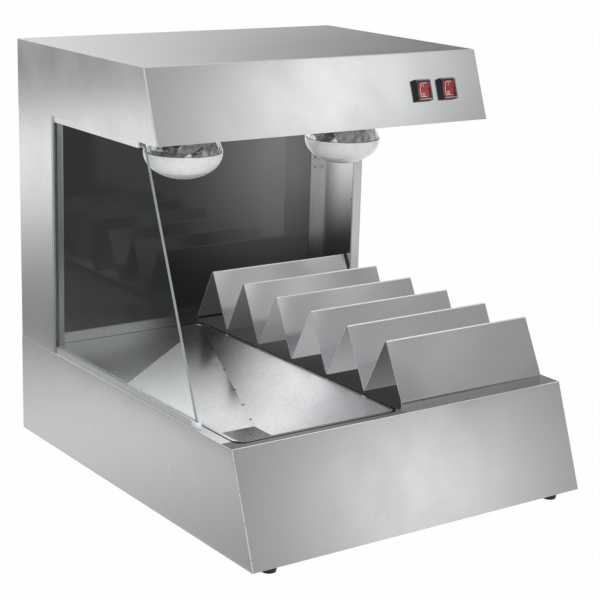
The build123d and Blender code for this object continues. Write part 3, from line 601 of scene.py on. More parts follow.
@dataclass(frozen=True)
class Moulded:
    """Moulded plastic, rubber, ceramic or sleeve: one colour, with a fine skin that breaks up its shine."""

    name: str
    colour: str
    shade: str
    roughness: float
    uneven: Spread = (-0.03, 0.04)      # smoothest and roughest patches, from the roughness
    patch_skins: float = 12.0           # size of a patch, in grains of the skin
    skin_mm: float = 0.8
    skin_depth_mm: float = 0.01
    ior: float = 1.5

    def build(self) -> bpy.types.Material:
        """Builds the material.

        Returns:
            The material.
        """
        material, tree = surface(self.name)
        skin = speckle(tree, (self.skin_mm,) * 3, 3.0)
        patches = speckle(tree, (self.patch_skins * self.skin_mm,) * 3)
        shader = add(tree, "ShaderNodeBsdfPrincipled", {
            "Base Color": tint(tree, between(tree, patches, 0.0, 1.0), self.colour, self.shade),
            "Roughness": between(tree, patches, self.roughness + self.uneven[0],
                                 self.roughness + self.uneven[1]),
            "IOR": self.ior, "Normal": relief(tree, skin, self.skin_depth_mm)})
        close(tree, shader)
        return material


@dataclass(frozen=True)
class TurnedMetal:
    """Small turned or pressed metal part: faint marks of the tool make it glint unevenly."""

    name: str
    light: str
    dark: str
    roughness: float
    uneven: Spread = (-0.04, 0.06)      # smoothest and roughest marks, from the roughness
    mark_mm: float = 0.6
    mark_depth_mm: float = 0.006

    def build(self) -> bpy.types.Material:
        """Builds the material.

        Returns:
            The material.
        """
        material, tree = surface(self.name)
        marks = speckle(tree, (self.mark_mm,) * 3, 3.0)
        shader = add(tree, "ShaderNodeBsdfPrincipled", {
            "Base Color": tint(tree, between(tree, marks, 0.0, 1.0), self.light, self.dark),
            "Metallic": 1.0,
            "Roughness": between(tree, marks, self.roughness + self.uneven[0],
                                 self.roughness + self.uneven[1]),
            "Normal": relief(tree, marks, self.mark_depth_mm)})
        close(tree, shader)
        return material


@dataclass(frozen=True)
class FrostedGlass:
    """Inside-frosted lamp glass: milky white under a smooth, clear skin, with painted shade on a disc in its
    middle.
    """

    name: str = "frosted lamp glass"
    milk: str = "#f3f3f2"
    milk_dark: str = "#e9e9e8"
    # painted shade: the disc's greyer tones stand for the shade in the bowl's middle
    shade: str = "#d9d9d9"
    shade_dark: str = "#cfcfcf"
    frost_mm: float = 9.0
    disc_top: float = 0.4913      # height of the step round the disc, where the painted shade ends, in metres
    step_soft: float = 0.0008     # how far the step's two tones run into each other, each way
    roughness: float = 0.3
    skin_weight: float = 0.6
    skin_roughness: float = 0.06

    def build(self) -> bpy.types.Material:
        """Builds the material.

        Returns:
            The material.
        """
        material, tree = surface(self.name)
        frost = speckle(tree, (self.frost_mm,) * 3, 4.0)
        place = add(tree, "ShaderNodeTexCoord").outputs["Object"]
        height = add(tree, "ShaderNodeSeparateXYZ", {0: place}).outputs["Z"]
        band = between(tree, height, 0.0, 1.0, self.disc_top - self.step_soft, self.disc_top + self.step_soft)
        # painted shade on the disc below the step
        disc = tint(tree, between(tree, frost, 0.0, 1.0), self.shade, self.shade_dark)
        rim = tint(tree, between(tree, frost, 0.0, 1.0), self.milk, self.milk_dark)
        colour = add(tree, "ShaderNodeMix", {"Factor": band, COLOUR_A: disc, COLOUR_B: rim},
                     data_type="RGBA").outputs[COLOUR_OUT]
        shader = add(tree, "ShaderNodeBsdfPrincipled", {
            "Base Color": colour, "Roughness": self.roughness, "IOR": GLASS_IOR,
            "Coat Weight": self.skin_weight, "Coat Roughness": self.skin_roughness})
        close(tree, shader)
        return material


@dataclass(frozen=True)
class SilveredFoil:
    """Silvered inner mirror of a reflector lamp: bright, with small creases that scatter what it mirrors."""

    name: str = "silvered lamp mirror"
    light: str = "#cfcfcf"
    dark: str = "#8e8e8e"
    crease_mm: Point = (9.0, 9.0, 14.0)
    crease_depth_mm: float = 0.35
    roughness: float = 0.07

    def build(self) -> bpy.types.Material:
        """Builds the material.

        Returns:
            The material.
        """
        material, tree = surface(self.name)
        crease = speckle(tree, self.crease_mm, 1.0)
        shader = add(tree, "ShaderNodeBsdfPrincipled", {
            "Base Color": tint(tree, between(tree, crease, 0.0, 1.0), self.light, self.dark),
            "Metallic": 1.0, "Roughness": self.roughness,
            "Normal": relief(tree, crease, self.crease_depth_mm)})
        close(tree, shader)
        return material


@dataclass(frozen=True)
class BlownGlass:
    """Thin clear blown glass of the lamp's neck: seen mostly at its outline."""

    name: str = "clear lamp glass"
    clear: str = "#ffffff"
    ripple_mm: float = 14.0
    ripple_depth_mm: float = 0.05
    roughness: float = 0.01

    def build(self) -> bpy.types.Material:
        """Builds the material.

        Returns:
            The material.
        """
        material, tree = surface(self.name)
        ripples = speckle(tree, (self.ripple_mm,) * 3)
        through = add(tree, "ShaderNodeBsdfTransparent", {"Color": linear(self.clear)})
        gloss = add(tree, "ShaderNodeBsdfGlossy", {
            "Color": linear(self.clear), "Roughness": self.roughness,
            "Normal": relief(tree, ripples, self.ripple_depth_mm)})
        fresnel = add(tree, "ShaderNodeFresnel", {"IOR": GLASS_IOR}).outputs[0]
        share = add(tree, "ShaderNodeMath", {0: fresnel, 1: front_side(tree)},
                    operation="MULTIPLY").outputs[0]
        close(tree, add(tree, "ShaderNodeMixShader", {0: share, 1: through.outputs[0], 2: gloss.outputs[0]}))
        return material


# Finish of each material slot of the record.
FINISHES: dict[str, Finish] = {
    # bright grey with soft upright lines, as on a cooker
    "cabinet_steel": SheetSteel("belt-polished stainless sheet"),
    # duller grey, mottled
    "plain_steel": SheetSteel("mill stainless sheet", light="#bfc0c2", dark="#b6b7b9", roughness=0.26,
                              grain=Grain.MILL, line_depth_mm=0.003),
    # nearly plain mirror, bent a little by its waves
    "pan_steel": SheetSteel("bright-rolled stainless pan", light="#cccdce", dark="#c3c4c6", roughness=0.2,
                            grain=Grain.MILL, line_depth_mm=0.001, wave_mm=160.0, wave_depth_mm=0.04),
    # soft lines across the ridges, with a painted highlight on the sheared ends and crests
    "rack_steel": SheetSteel("satin stainless rack", light="#bcbdbf", dark="#b6b7b9", roughness=0.16,
                             grain=Grain.ACROSS, wave_depth_mm=0.03, painted_highlight="#fbfbfb"),
    # light, even strip
    "channel_steel": SheetSteel("bright trim channel", light="#d2d3d4", dark="#c9cacb", roughness=0.22,
                                grain=Grain.MILL),
    # small dull glints
    "screw_steel": TurnedMetal("zinc-bright fastener", "#b4b6b8", "#9b9da0", 0.28),
    "tinted_glass": TintedPane(),
    "clear_glass": ClearPane(),
    # milky strip, more solid than the pane it holds
    "clear_seal": ClearPlastic("clear glazing strip", see_through=0.45, roughness=0.3),
    # almost unseen but for its bright rim, partly a painted highlight
    "clear_cover": ClearPlastic("clear switch cap", see_through=0.985, roughness=0.08),
    # dead black with hardly a shine
    "foot_rubber": Moulded("black foot rubber", "#0b0b0b", "#121212", 0.5, ior=1.38),
    "frosted_glass": FrostedGlass(),
    "lamp_mirror": SilveredFoil(),
    # pale soft metal with a blurred shine
    "lamp_cap": TurnedMetal("rolled aluminium cap", "#c4c5c6", "#a9aaab", 0.3),
    # warm yellow metal
    "contact_brass": TurnedMetal("pressed brass", "#d8b56a", "#b8934c", 0.3),
    # creamy white under a wet-looking glaze
    "ceramic": Moulded("glazed lampholder ceramic", "#f1eee6", "#e6e2d8", 0.2, skin_mm=3.0),
    # black with a satin shine
    "switch_black": Moulded("black switch nylon", "#0b0b0c", "#111112", 0.3, ior=1.36),
    # deep red lens, smooth and glossy
    "switch_red": Moulded("red switch polycarbonate", "#94080f", "#ad141a", 0.24, skin_depth_mm=0.004),
    # warm white, half matt
    "terminal_white": Moulded("white terminal nylon", "#e9e7e1", "#dcd9d1", 0.4),
    # soft black, half matt
    "gland_black": Moulded("black gland nylon", "#151517", "#1d1d20", 0.42),
    # off-white cloth, matt and fuzzy
    "wire_insulation": Moulded("woven glass wire sleeve", "#dcd8cc", "#c9c4b5", 0.6, skin_mm=0.5,
                               skin_depth_mm=0.05),
}

# Painted highlight: white metal on the folds and seams, standing in for their glint.
FOLD_HIGHLIGHT_FINISH = TurnedMetal("painted fold highlight", "#ffffff", "#f1f1f1", 0.34)


# ---------------------------------------------------------------- pieces grown with Geometry Nodes
def start_tree(name: str, sizes: dict[str, str]) -> tuple[bpy.types.NodeTree, bpy.types.Node]:
    """Starts a Geometry Nodes tree with named inputs.

    Args:
        name: name of the tree.
        sizes: label and socket type of each input.

    Returns:
        The tree and its input node.
    """
    tree = bpy.data.node_groups.new(name, "GeometryNodeTree")
    tree.interface.new_socket(name="Geometry", in_out="OUTPUT", socket_type="NodeSocketGeometry")
    tree.interface.new_socket(name="Geometry", in_out="INPUT", socket_type="NodeSocketGeometry")
    for label, kind in sizes.items():
        tree.interface.new_socket(name=label, in_out="INPUT", socket_type=kind)
    return tree, add(tree, "NodeGroupInput")


def end_tree(tree: bpy.types.NodeTree, shape: bpy.types.NodeSocket, material: bpy.types.Material) -> None:
    """Closes a tree: instances become real and take their material.

    Args:
        tree: tree to close.
        shape: geometry made so far.
        material: material of the piece.
    """
    real = add(tree, "GeometryNodeRealizeInstances", {0: shape})
    dressed = add(tree, "GeometryNodeSetMaterial", {"Geometry": real.outputs[0], "Material": material})
    add(tree, "NodeGroupOutput", {0: dressed.outputs[0]})


def grow(name: str, tree: bpy.types.NodeTree, values: dict[str, Any], points: Iterable[Point] = (),
         aims: Iterable[Point] = (), smooth: float = 40.0) -> bpy.types.Object:
    """Runs a tree once and keeps its result as a plain mesh.

    Args:
        name: name of the piece.
        tree: tree that makes it.
        values: value of each named input.
        points: places that the tree starts from.
        aims: direction of each place.
        smooth: edges sharper than this many degrees stay sharp.

    Returns:
        The piece, at the origin.
    """
    seed = bpy.data.meshes.new(name)
    seed.from_pydata([tuple(p) for p in points], [], [])
    if aims:
        column = seed.attributes.new("aim", "FLOAT_VECTOR", "POINT")
        for item, aim in zip(column.data, aims):
            item.vector = aim
    piece = bpy.data.objects.new(name, seed)
    bpy.context.scene.collection.objects.link(piece)
    modifier = piece.modifiers.new(tree.name, "NODES")
    modifier.node_group = tree
    for socket in tree.interface.items_tree:
        if socket.name in values:
            modifier[socket.identifier] = values[socket.name]
    graph = bpy.context.evaluated_depsgraph_get()
    result = bpy.data.meshes.new_from_object(piece.evaluated_get(graph))
    piece.modifiers.clear()
    piece.data = result
    bpy.data.meshes.remove(seed)
    tidy_normals(result)
    result.shade_smooth()
    result.set_sharp_from_angle(angle=math.radians(smooth))
    return piece


@dataclass
class RibRack:
    """Ridged bag rack: one sheet folded to and fro across the deck, with an upright lip at its foot."""

    ridges: int = 6
    pitch_mm: float = 97.7
    sheet_mm: float = 1.0
    lip_mm: float = 8.0
    flat_mm: float = 2.0        # width of a fold's rounded back
    fold_steps: int = 4
    sharp_over: float = 12.0    # degrees: the flanks stay flat up to their folds

    def tree(self, material: bpy.types.Material) -> bpy.types.NodeTree:
        """Folds a line to and fro, rounds its corners, draws it out sideways and gives it a thickness.

        Args:
            material: the rack's material.

        Returns:
            The tree.
        """
        tree, given = start_tree("folded sheet", {
            "Ridges": "NodeSocketInt", "Start": "NodeSocketVector", "Half pitch": "NodeSocketFloat",
            "Valley": "NodeSocketFloat", "Crest": "NodeSocketFloat", "Foot": "NodeSocketFloat",
            "Lip": "NodeSocketFloat", "Bend": "NodeSocketFloat", "Width": "NodeSocketFloat",
            "Sheet": "NodeSocketFloat"})
        size = given.outputs
        folds = add(tree, "ShaderNodeMath", {0: size["Ridges"], 1: 2.0}, operation="MULTIPLY").outputs[0]
        count = add(tree, "ShaderNodeMath", {0: folds, 1: 2.0}, operation="ADD").outputs[0]
        line = add(tree, "GeometryNodeMeshLine", {"Count": count, "Start Location": size["Start"],
                                                  "Offset": (0.0, 0.0, 0.0)})
        index = add(tree, "GeometryNodeInputIndex").outputs[0]
        odd = add(tree, "ShaderNodeMath", {0: index, 1: 2.0}, operation="MODULO").outputs[0]
        past = add(tree, "ShaderNodeMath", {0: folds, 1: 0.5}, operation="SUBTRACT").outputs[0]
        foot = add(tree, "ShaderNodeMath", {0: index, 1: past}, operation="GREATER_THAN").outputs[0]
        wave = add(tree, "ShaderNodeMix", {"Factor": odd, "A": size["Valley"], "B": size["Crest"]}).outputs[0]
        lip = add(tree, "ShaderNodeMix", {"Factor": odd, "A": size["Lip"], "B": 0.0}).outputs[0]
        height = add(tree, "ShaderNodeMix", {"Factor": foot, "A": wave, "B": lip}).outputs[0]
        march = add(tree, "ShaderNodeMath", {0: index, 1: size["Half pitch"]},
                    operation="MULTIPLY").outputs[0]
        along = add(tree, "ShaderNodeMix", {"Factor": foot, "A": march, "B": size["Foot"]}).outputs[0]
        back = add(tree, "ShaderNodeMath", {0: along, 1: -1.0}, operation="MULTIPLY").outputs[0]
        shift = add(tree, "ShaderNodeCombineXYZ", {"Y": back, "Z": height}).outputs[0]
        folded = add(tree, "GeometryNodeSetPosition", {
            "Geometry": line.outputs[0], "Offset": shift}).outputs[0]
        curve = add(tree, "GeometryNodeMeshToCurve", {0: folded}).outputs[0]
        rounded = add(tree, "GeometryNodeFilletCurve", {
            "Curve": curve, "Count": self.fold_steps, "Radius": size["Bend"], "Limit Radius": True},
            mode="POLY").outputs[0]
        edge = add(tree, "GeometryNodeCurveToMesh", {0: rounded}).outputs[0]
        sideways = add(tree, "ShaderNodeCombineXYZ", {"X": size["Width"]}).outputs[0]
        skin = add(tree, "GeometryNodeExtrudeMesh", {"Mesh": edge, "Offset": sideways, "Offset Scale": 1.0},
                   mode="EDGES").outputs[0]
        wall = add(tree, "GeometryNodeExtrudeMesh", {
            "Mesh": skin, "Offset Scale": size["Sheet"], "Individual": False}, mode="FACES").outputs[0]
        under = add(tree, "GeometryNodeFlipFaces", {0: skin}).outputs[0]
        both = add(tree, "GeometryNodeJoinGeometry")
        tree.links.new(wall, both.inputs[0])
        tree.links.new(under, both.inputs[0])
        shut = add(tree, "GeometryNodeMergeByDistance", {
            "Geometry": both.outputs[0], "Distance": 2 * MERGE}).outputs[0]
        end_tree(tree, shut, material)
        return tree

    def build(self, materials: dict[str, bpy.types.Material]) -> None:
        """Grows the rack over its solid.

        Args:
            materials: material of each slot.
        """
        low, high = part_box("rib_rack")
        half = self.pitch_mm * MM / 2
        tall = high.z - low.z
        # The line is the sheet's upper skin, so its valleys lie the slanted sheet's thickness over the deck.
        rise = tall - self.sheet_mm * MM * math.hypot(tall, half) / half
        slope = rise / (half - self.flat_mm * MM)
        # A corner stands this much past the back of the fold that it is rounded to.
        over = slope * self.flat_mm * MM / 2
        lean = math.atan(1 / slope)
        bend = over / (1 / math.sin(lean) - 1)
        piece = grow("rib_rack_sheet", self.tree(materials["rack_steel"]), {
            "Ridges": self.ridges, "Start": (low.x, high.y, low.z), "Half pitch": half,
            "Valley": tall - rise - over, "Crest": tall + over, "Foot": high.y - low.y,
            "Lip": self.lip_mm * MM + tall - rise, "Bend": bend, "Width": high.x - low.x,
            "Sheet": -self.sheet_mm * MM}, smooth=self.sharp_over)
        finished(piece, "rib_rack_body", "rack_steel", "rib_rack")


class Side(Enum):
    """Side of the warmer, seen from its front."""

    LEFT = "left"
    RIGHT = "right"


class Aim(Enum):
    """Way that a fastener's head looks."""

    INWARD = "inward"
    UP = "up"
    DOWN = "down"
    FRONT = "front"
    BACK = "back"

    def direction(self, middle: Vector) -> Vector:
        """Turns the way into a direction at one place.

        Args:
            middle: middle of the fastener.

        Returns:
            Unit direction.
        """
        inward = (-math.copysign(1.0, middle.x), 0, 0)
        ways = {Aim.INWARD: inward, Aim.UP: UPWARD, Aim.DOWN: DOWNWARD, Aim.FRONT: TO_FRONT,
                Aim.BACK: TO_BACK}
        return Vector(ways[self])


@dataclass(frozen=True)
class FastenerSet:
    """Fasteners of one node: the way that their heads look, and whether they are screws or rivets."""

    node: str
    aim: Aim
    screws: bool = False


@dataclass
class Fasteners:
    """Rivets with domed heads and screws with a crossed recess, at the places of their solids."""

    sets: tuple[FastenerSet, ...] = (
        FastenerSet("column_rivets", Aim.INWARD),
        FastenerSet("deck_rivets", Aim.UP),
        FastenerSet("channel_rivets", Aim.FRONT),
        FastenerSet("rear_panel_screws", Aim.BACK, screws=True),
        FastenerSet("underside_panel_screws", Aim.DOWN, screws=True),
        FastenerSet("bottom_plate_screws", Aim.DOWN, screws=True))
    screw_head_mm: float = 2.1
    screw_crown: float = 1.7            # a screw's ball is raised so much before its top is pressed flat
    rivet_crown: float = 1.0
    flat_soft: float = 0.25             # how softly a ball runs into its flat top
    under_share: float = 0.1            # how far the ball bulges under its seat
    recess_share: float = 0.55          # depth of the crossed recess, of the head's height
    recess_over: float = 0.8            # the recess is cut where the ball is higher than this
    arm_half: float = 0.09              # half width of the recess's arms, of the head's radius
    shank_mm: float = 1.9               # radius of a screw's shank
    stub_mm: float = 0.2                # shank of a rivet or weld spot, only there to seat its head
    head_faces: int = 24
    head_rings: int = 14
    shank_faces: int = 12
    seam_spot_levels_mm: tuple[float, ...] = (30.0, 78.0, 121.0, 158.0)
    seam_spot_inset_mm: float = 1.3
    seam_spot_mm: float = 1.1           # radius of a weld spot
    seam_spot_height_mm: float = 0.5
    seam_stub_mm: float = 0.4           # radius of its stub

    def tree(self, material: bpy.types.Material) -> bpy.types.NodeTree:
        """Presses a ball into a head, cuts the crossed recess and adds the shank.

        Args:
            material: the fasteners' material.

        Returns:
            The tree.
        """
        tree, given = start_tree("fastener heads", {
            "Head radius": "NodeSocketFloat", "Head height": "NodeSocketFloat", "Crown": "NodeSocketFloat",
            "Recess": "NodeSocketFloat", "Shank radius": "NodeSocketFloat", "Shank": "NodeSocketFloat"})
        size = given.outputs
        ball = add(tree, "GeometryNodeMeshUVSphere", {
            "Segments": self.head_faces, "Rings": self.head_rings, "Radius": 1.0}).outputs[0]
        at = add(tree, "ShaderNodeSeparateXYZ", {0: add(tree, "GeometryNodeInputPosition").outputs[0]})
        full = add(tree, "ShaderNodeMath", {0: at.outputs["Z"], 1: size["Crown"]},
                   operation="MULTIPLY").outputs[0]
        flat = add(tree, "ShaderNodeMath", {0: full, 1: 1.0, 2: self.flat_soft},
                   operation="SMOOTH_MIN").outputs[0]
        top = add(tree, "ShaderNodeMath", {0: flat, 1: size["Head height"]}, operation="MULTIPLY").outputs[0]
        low = add(tree, "ShaderNodeMath", {0: top, 1: self.under_share}, operation="MULTIPLY").outputs[0]
        below = add(tree, "ShaderNodeMath", {0: at.outputs["Z"], 1: 0.0}, operation="LESS_THAN").outputs[0]
        level = add(tree, "ShaderNodeMix", {"Factor": below, "A": top, "B": low}).outputs[0]
        narrow = add(tree, "ShaderNodeMath", {
            0: add(tree, "ShaderNodeMath", {0: at.outputs["X"]}, operation="ABSOLUTE").outputs[0],
            1: add(tree, "ShaderNodeMath", {0: at.outputs["Y"]}, operation="ABSOLUTE").outputs[0]},
            operation="MINIMUM").outputs[0]
        arm = add(tree, "ShaderNodeMath", {0: narrow, 1: self.arm_half}, operation="LESS_THAN").outputs[0]
        middle = add(tree, "ShaderNodeMath", {0: at.outputs["Z"], 1: self.recess_over},
                     operation="GREATER_THAN").outputs[0]
        cut = add(tree, "ShaderNodeMath", {0: arm, 1: middle}, operation="MULTIPLY").outputs[0]
        sunk = add(tree, "ShaderNodeMath", {0: cut, 1: size["Recess"]}, operation="MULTIPLY").outputs[0]
        depth = add(tree, "ShaderNodeMath", {0: level, 1: sunk}, operation="SUBTRACT").outputs[0]
        radius = size["Head radius"]
        wide = add(tree, "ShaderNodeMath", {0: at.outputs["X"], 1: radius}, operation="MULTIPLY").outputs[0]
        deep = add(tree, "ShaderNodeMath", {0: at.outputs["Y"], 1: radius}, operation="MULTIPLY").outputs[0]
        place = add(tree, "ShaderNodeCombineXYZ", {0: wide, 1: deep, 2: depth}).outputs[0]
        head = add(tree, "GeometryNodeSetPosition", {"Geometry": ball, "Position": place}).outputs[0]
        rod = add(tree, "GeometryNodeMeshCylinder", {
            "Vertices": self.shank_faces, "Radius": size["Shank radius"],
            "Depth": size["Shank"]}).outputs["Mesh"]
        half = add(tree, "ShaderNodeMath", {0: size["Shank"], 1: -0.5}, operation="MULTIPLY").outputs[0]
        drop = add(tree, "ShaderNodeCombineXYZ", {2: half}).outputs[0]
        shank = add(tree, "GeometryNodeTransform", {"Geometry": rod, "Translation": drop}).outputs[0]
        one = add(tree, "GeometryNodeJoinGeometry")
        tree.links.new(head, one.inputs[0])
        tree.links.new(shank, one.inputs[0])
        aim = add(tree, "GeometryNodeInputNamedAttribute", {"Name": "aim"},
                  data_type="FLOAT_VECTOR").outputs[0]
        turn = add(tree, "FunctionNodeAlignRotationToVector", {"Vector": aim}, axis="Z").outputs[0]
        spread = add(tree, "GeometryNodeInstanceOnPoints", {
            "Points": given.outputs["Geometry"], "Instance": one.outputs[0], "Rotation": turn}).outputs[0]
        end_tree(tree, spread, material)
        return tree

    def build(self, materials: dict[str, bpy.types.Material], nodes: dict[str, bpy.types.Object]) -> None:
        """Grows each set of fasteners over its solids.

        Args:
            materials: material of each slot.
            nodes: objects of the solid model.
        """
        tree = self.tree(materials["screw_steel"])
        for each in self.sets:
            seats: list[Vector] = []
            aims: list[Vector] = []
            radius = length = head = 0.0        # the same for every solid of a node
            for low, high in loose_solids(nodes[each.node]):
                middle, reach = (low + high) / 2, high - low
                way = each.aim.direction(middle)
                length = abs(reach.dot(way))
                radius = max(abs(reach[i]) for i in range(3) if not way[i]) / 2
                head = self.screw_head_mm * MM if each.screws else length
                seats.append(middle + way * (length / 2 - head))
                aims.append(way)
            sizes = {"Head radius": radius, "Head height": head}
            if each.screws:
                sizes |= {"Crown": self.screw_crown, "Recess": self.recess_share * head,
                          "Shank radius": self.shank_mm * MM, "Shank": length - head}
            else:
                sizes |= {"Crown": self.rivet_crown, "Recess": 0.0, "Shank radius": radius / 2,
                          "Shank": self.stub_mm * MM}
            piece = grow(f"{each.node}_heads", tree, sizes, seats, aims)
            finished(piece, CABINET, "screw_steel", each.node)
        self.build_seam_spots(tree)

    def build_seam_spots(self, tree: bpy.types.NodeTree) -> None:
        """Grows the spot welds up the front left seam of the base.

        Args:
            tree: tree of the fastener heads.
        """
        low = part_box("base_shell")[0]
        seats = [Vector((low.x + self.seam_spot_inset_mm * MM,
                         low.y + (level * MM - low.z) * math.tan(LEAN), level * MM))
                 for level in self.seam_spot_levels_mm]
        piece = grow("seam_weld_spots", tree, {
            "Head radius": self.seam_spot_mm * MM, "Head height": self.seam_spot_height_mm * MM,
            "Crown": self.rivet_crown, "Recess": 0.0, "Shank radius": self.seam_stub_mm * MM,
            "Shank": self.stub_mm * MM}, seats, [FRONT_OUT] * len(seats))
        finished(piece, CABINET, "screw_steel")


@dataclass
class FoldLines:
    """Rounded backs of the front folds and seams of the base and of the hood, in a painted highlight's white.
    """

    radius_mm: float = 1.5
    proud_mm: float = 0.36          # how far a fold's back stands out of the front
    seam_proud_mm: float = 0.13
    seam_end_mm: float = 2.0        # how far the seam stops short of each end
    ring_faces: int = 16

    def tree(self, material: bpy.types.Material) -> bpy.types.NodeTree:
        """Draws a round wire between two points.

        Args:
            material: the folds' material.

        Returns:
            The tree.
        """
        tree, given = start_tree("fold line", {
            "Start": "NodeSocketVector", "End": "NodeSocketVector", "Radius": "NodeSocketFloat"})
        size = given.outputs
        line = add(tree, "GeometryNodeCurvePrimitiveLine", {
            "Start": size["Start"], "End": size["End"]}).outputs[0]
        ring = add(tree, "GeometryNodeCurvePrimitiveCircle", {
            "Resolution": self.ring_faces, "Radius": size["Radius"]}).outputs[0]
        wire = add(tree, "GeometryNodeCurveToMesh", {"Curve": line, "Profile Curve": ring, "Fill Caps": True})
        end_tree(tree, wire.outputs[0], material)
        return tree

    def build(self) -> None:
        """Grows the folds of the base's front and the hood's front."""
        # the folds and seams take the painted highlight's white
        tree = self.tree(FOLD_HIGHLIGHT_FINISH.build())
        radius, proud = self.radius_mm * MM, self.proud_mm * MM
        inset = Vector((radius + proud, 0, 0))
        for part in ("base", "hood"):
            low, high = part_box(f"{part}_shell")
            foot = Vector((low.x, low.y, low.z))
            head = Vector((low.x, low.y + (high.z - low.z) * math.tan(LEAN), high.z))
            across = Vector((high.x - low.x, 0, 0))
            back = -FRONT_OUT * (radius - proud)
            under = Vector((0, 0, proud - radius if part == "base" else -radius))
            top = grow(f"{part}_front_fold", tree, {
                "Start": head + back + under + inset, "End": head + across + back + under - inset,
                "Radius": radius})
            finished(top, CABINET, "channel_steel")
            seam_back = Vector((radius, 0, 0)) - FRONT_OUT * (radius - self.seam_proud_mm * MM)
            lift = FRONT_UP * self.seam_end_mm * MM
            seam = grow(f"{part}_front_left_seam", tree, {
                "Start": foot + seam_back + lift, "End": head + seam_back - lift, "Radius": radius})
            finished(seam, CABINET, "channel_steel")


# ---------------------------------------------------------------- lamps and switches
CREASE_SEEDS = {Side.LEFT: 7, Side.RIGHT: 8}      # so that the two mirrors aren't creased alike


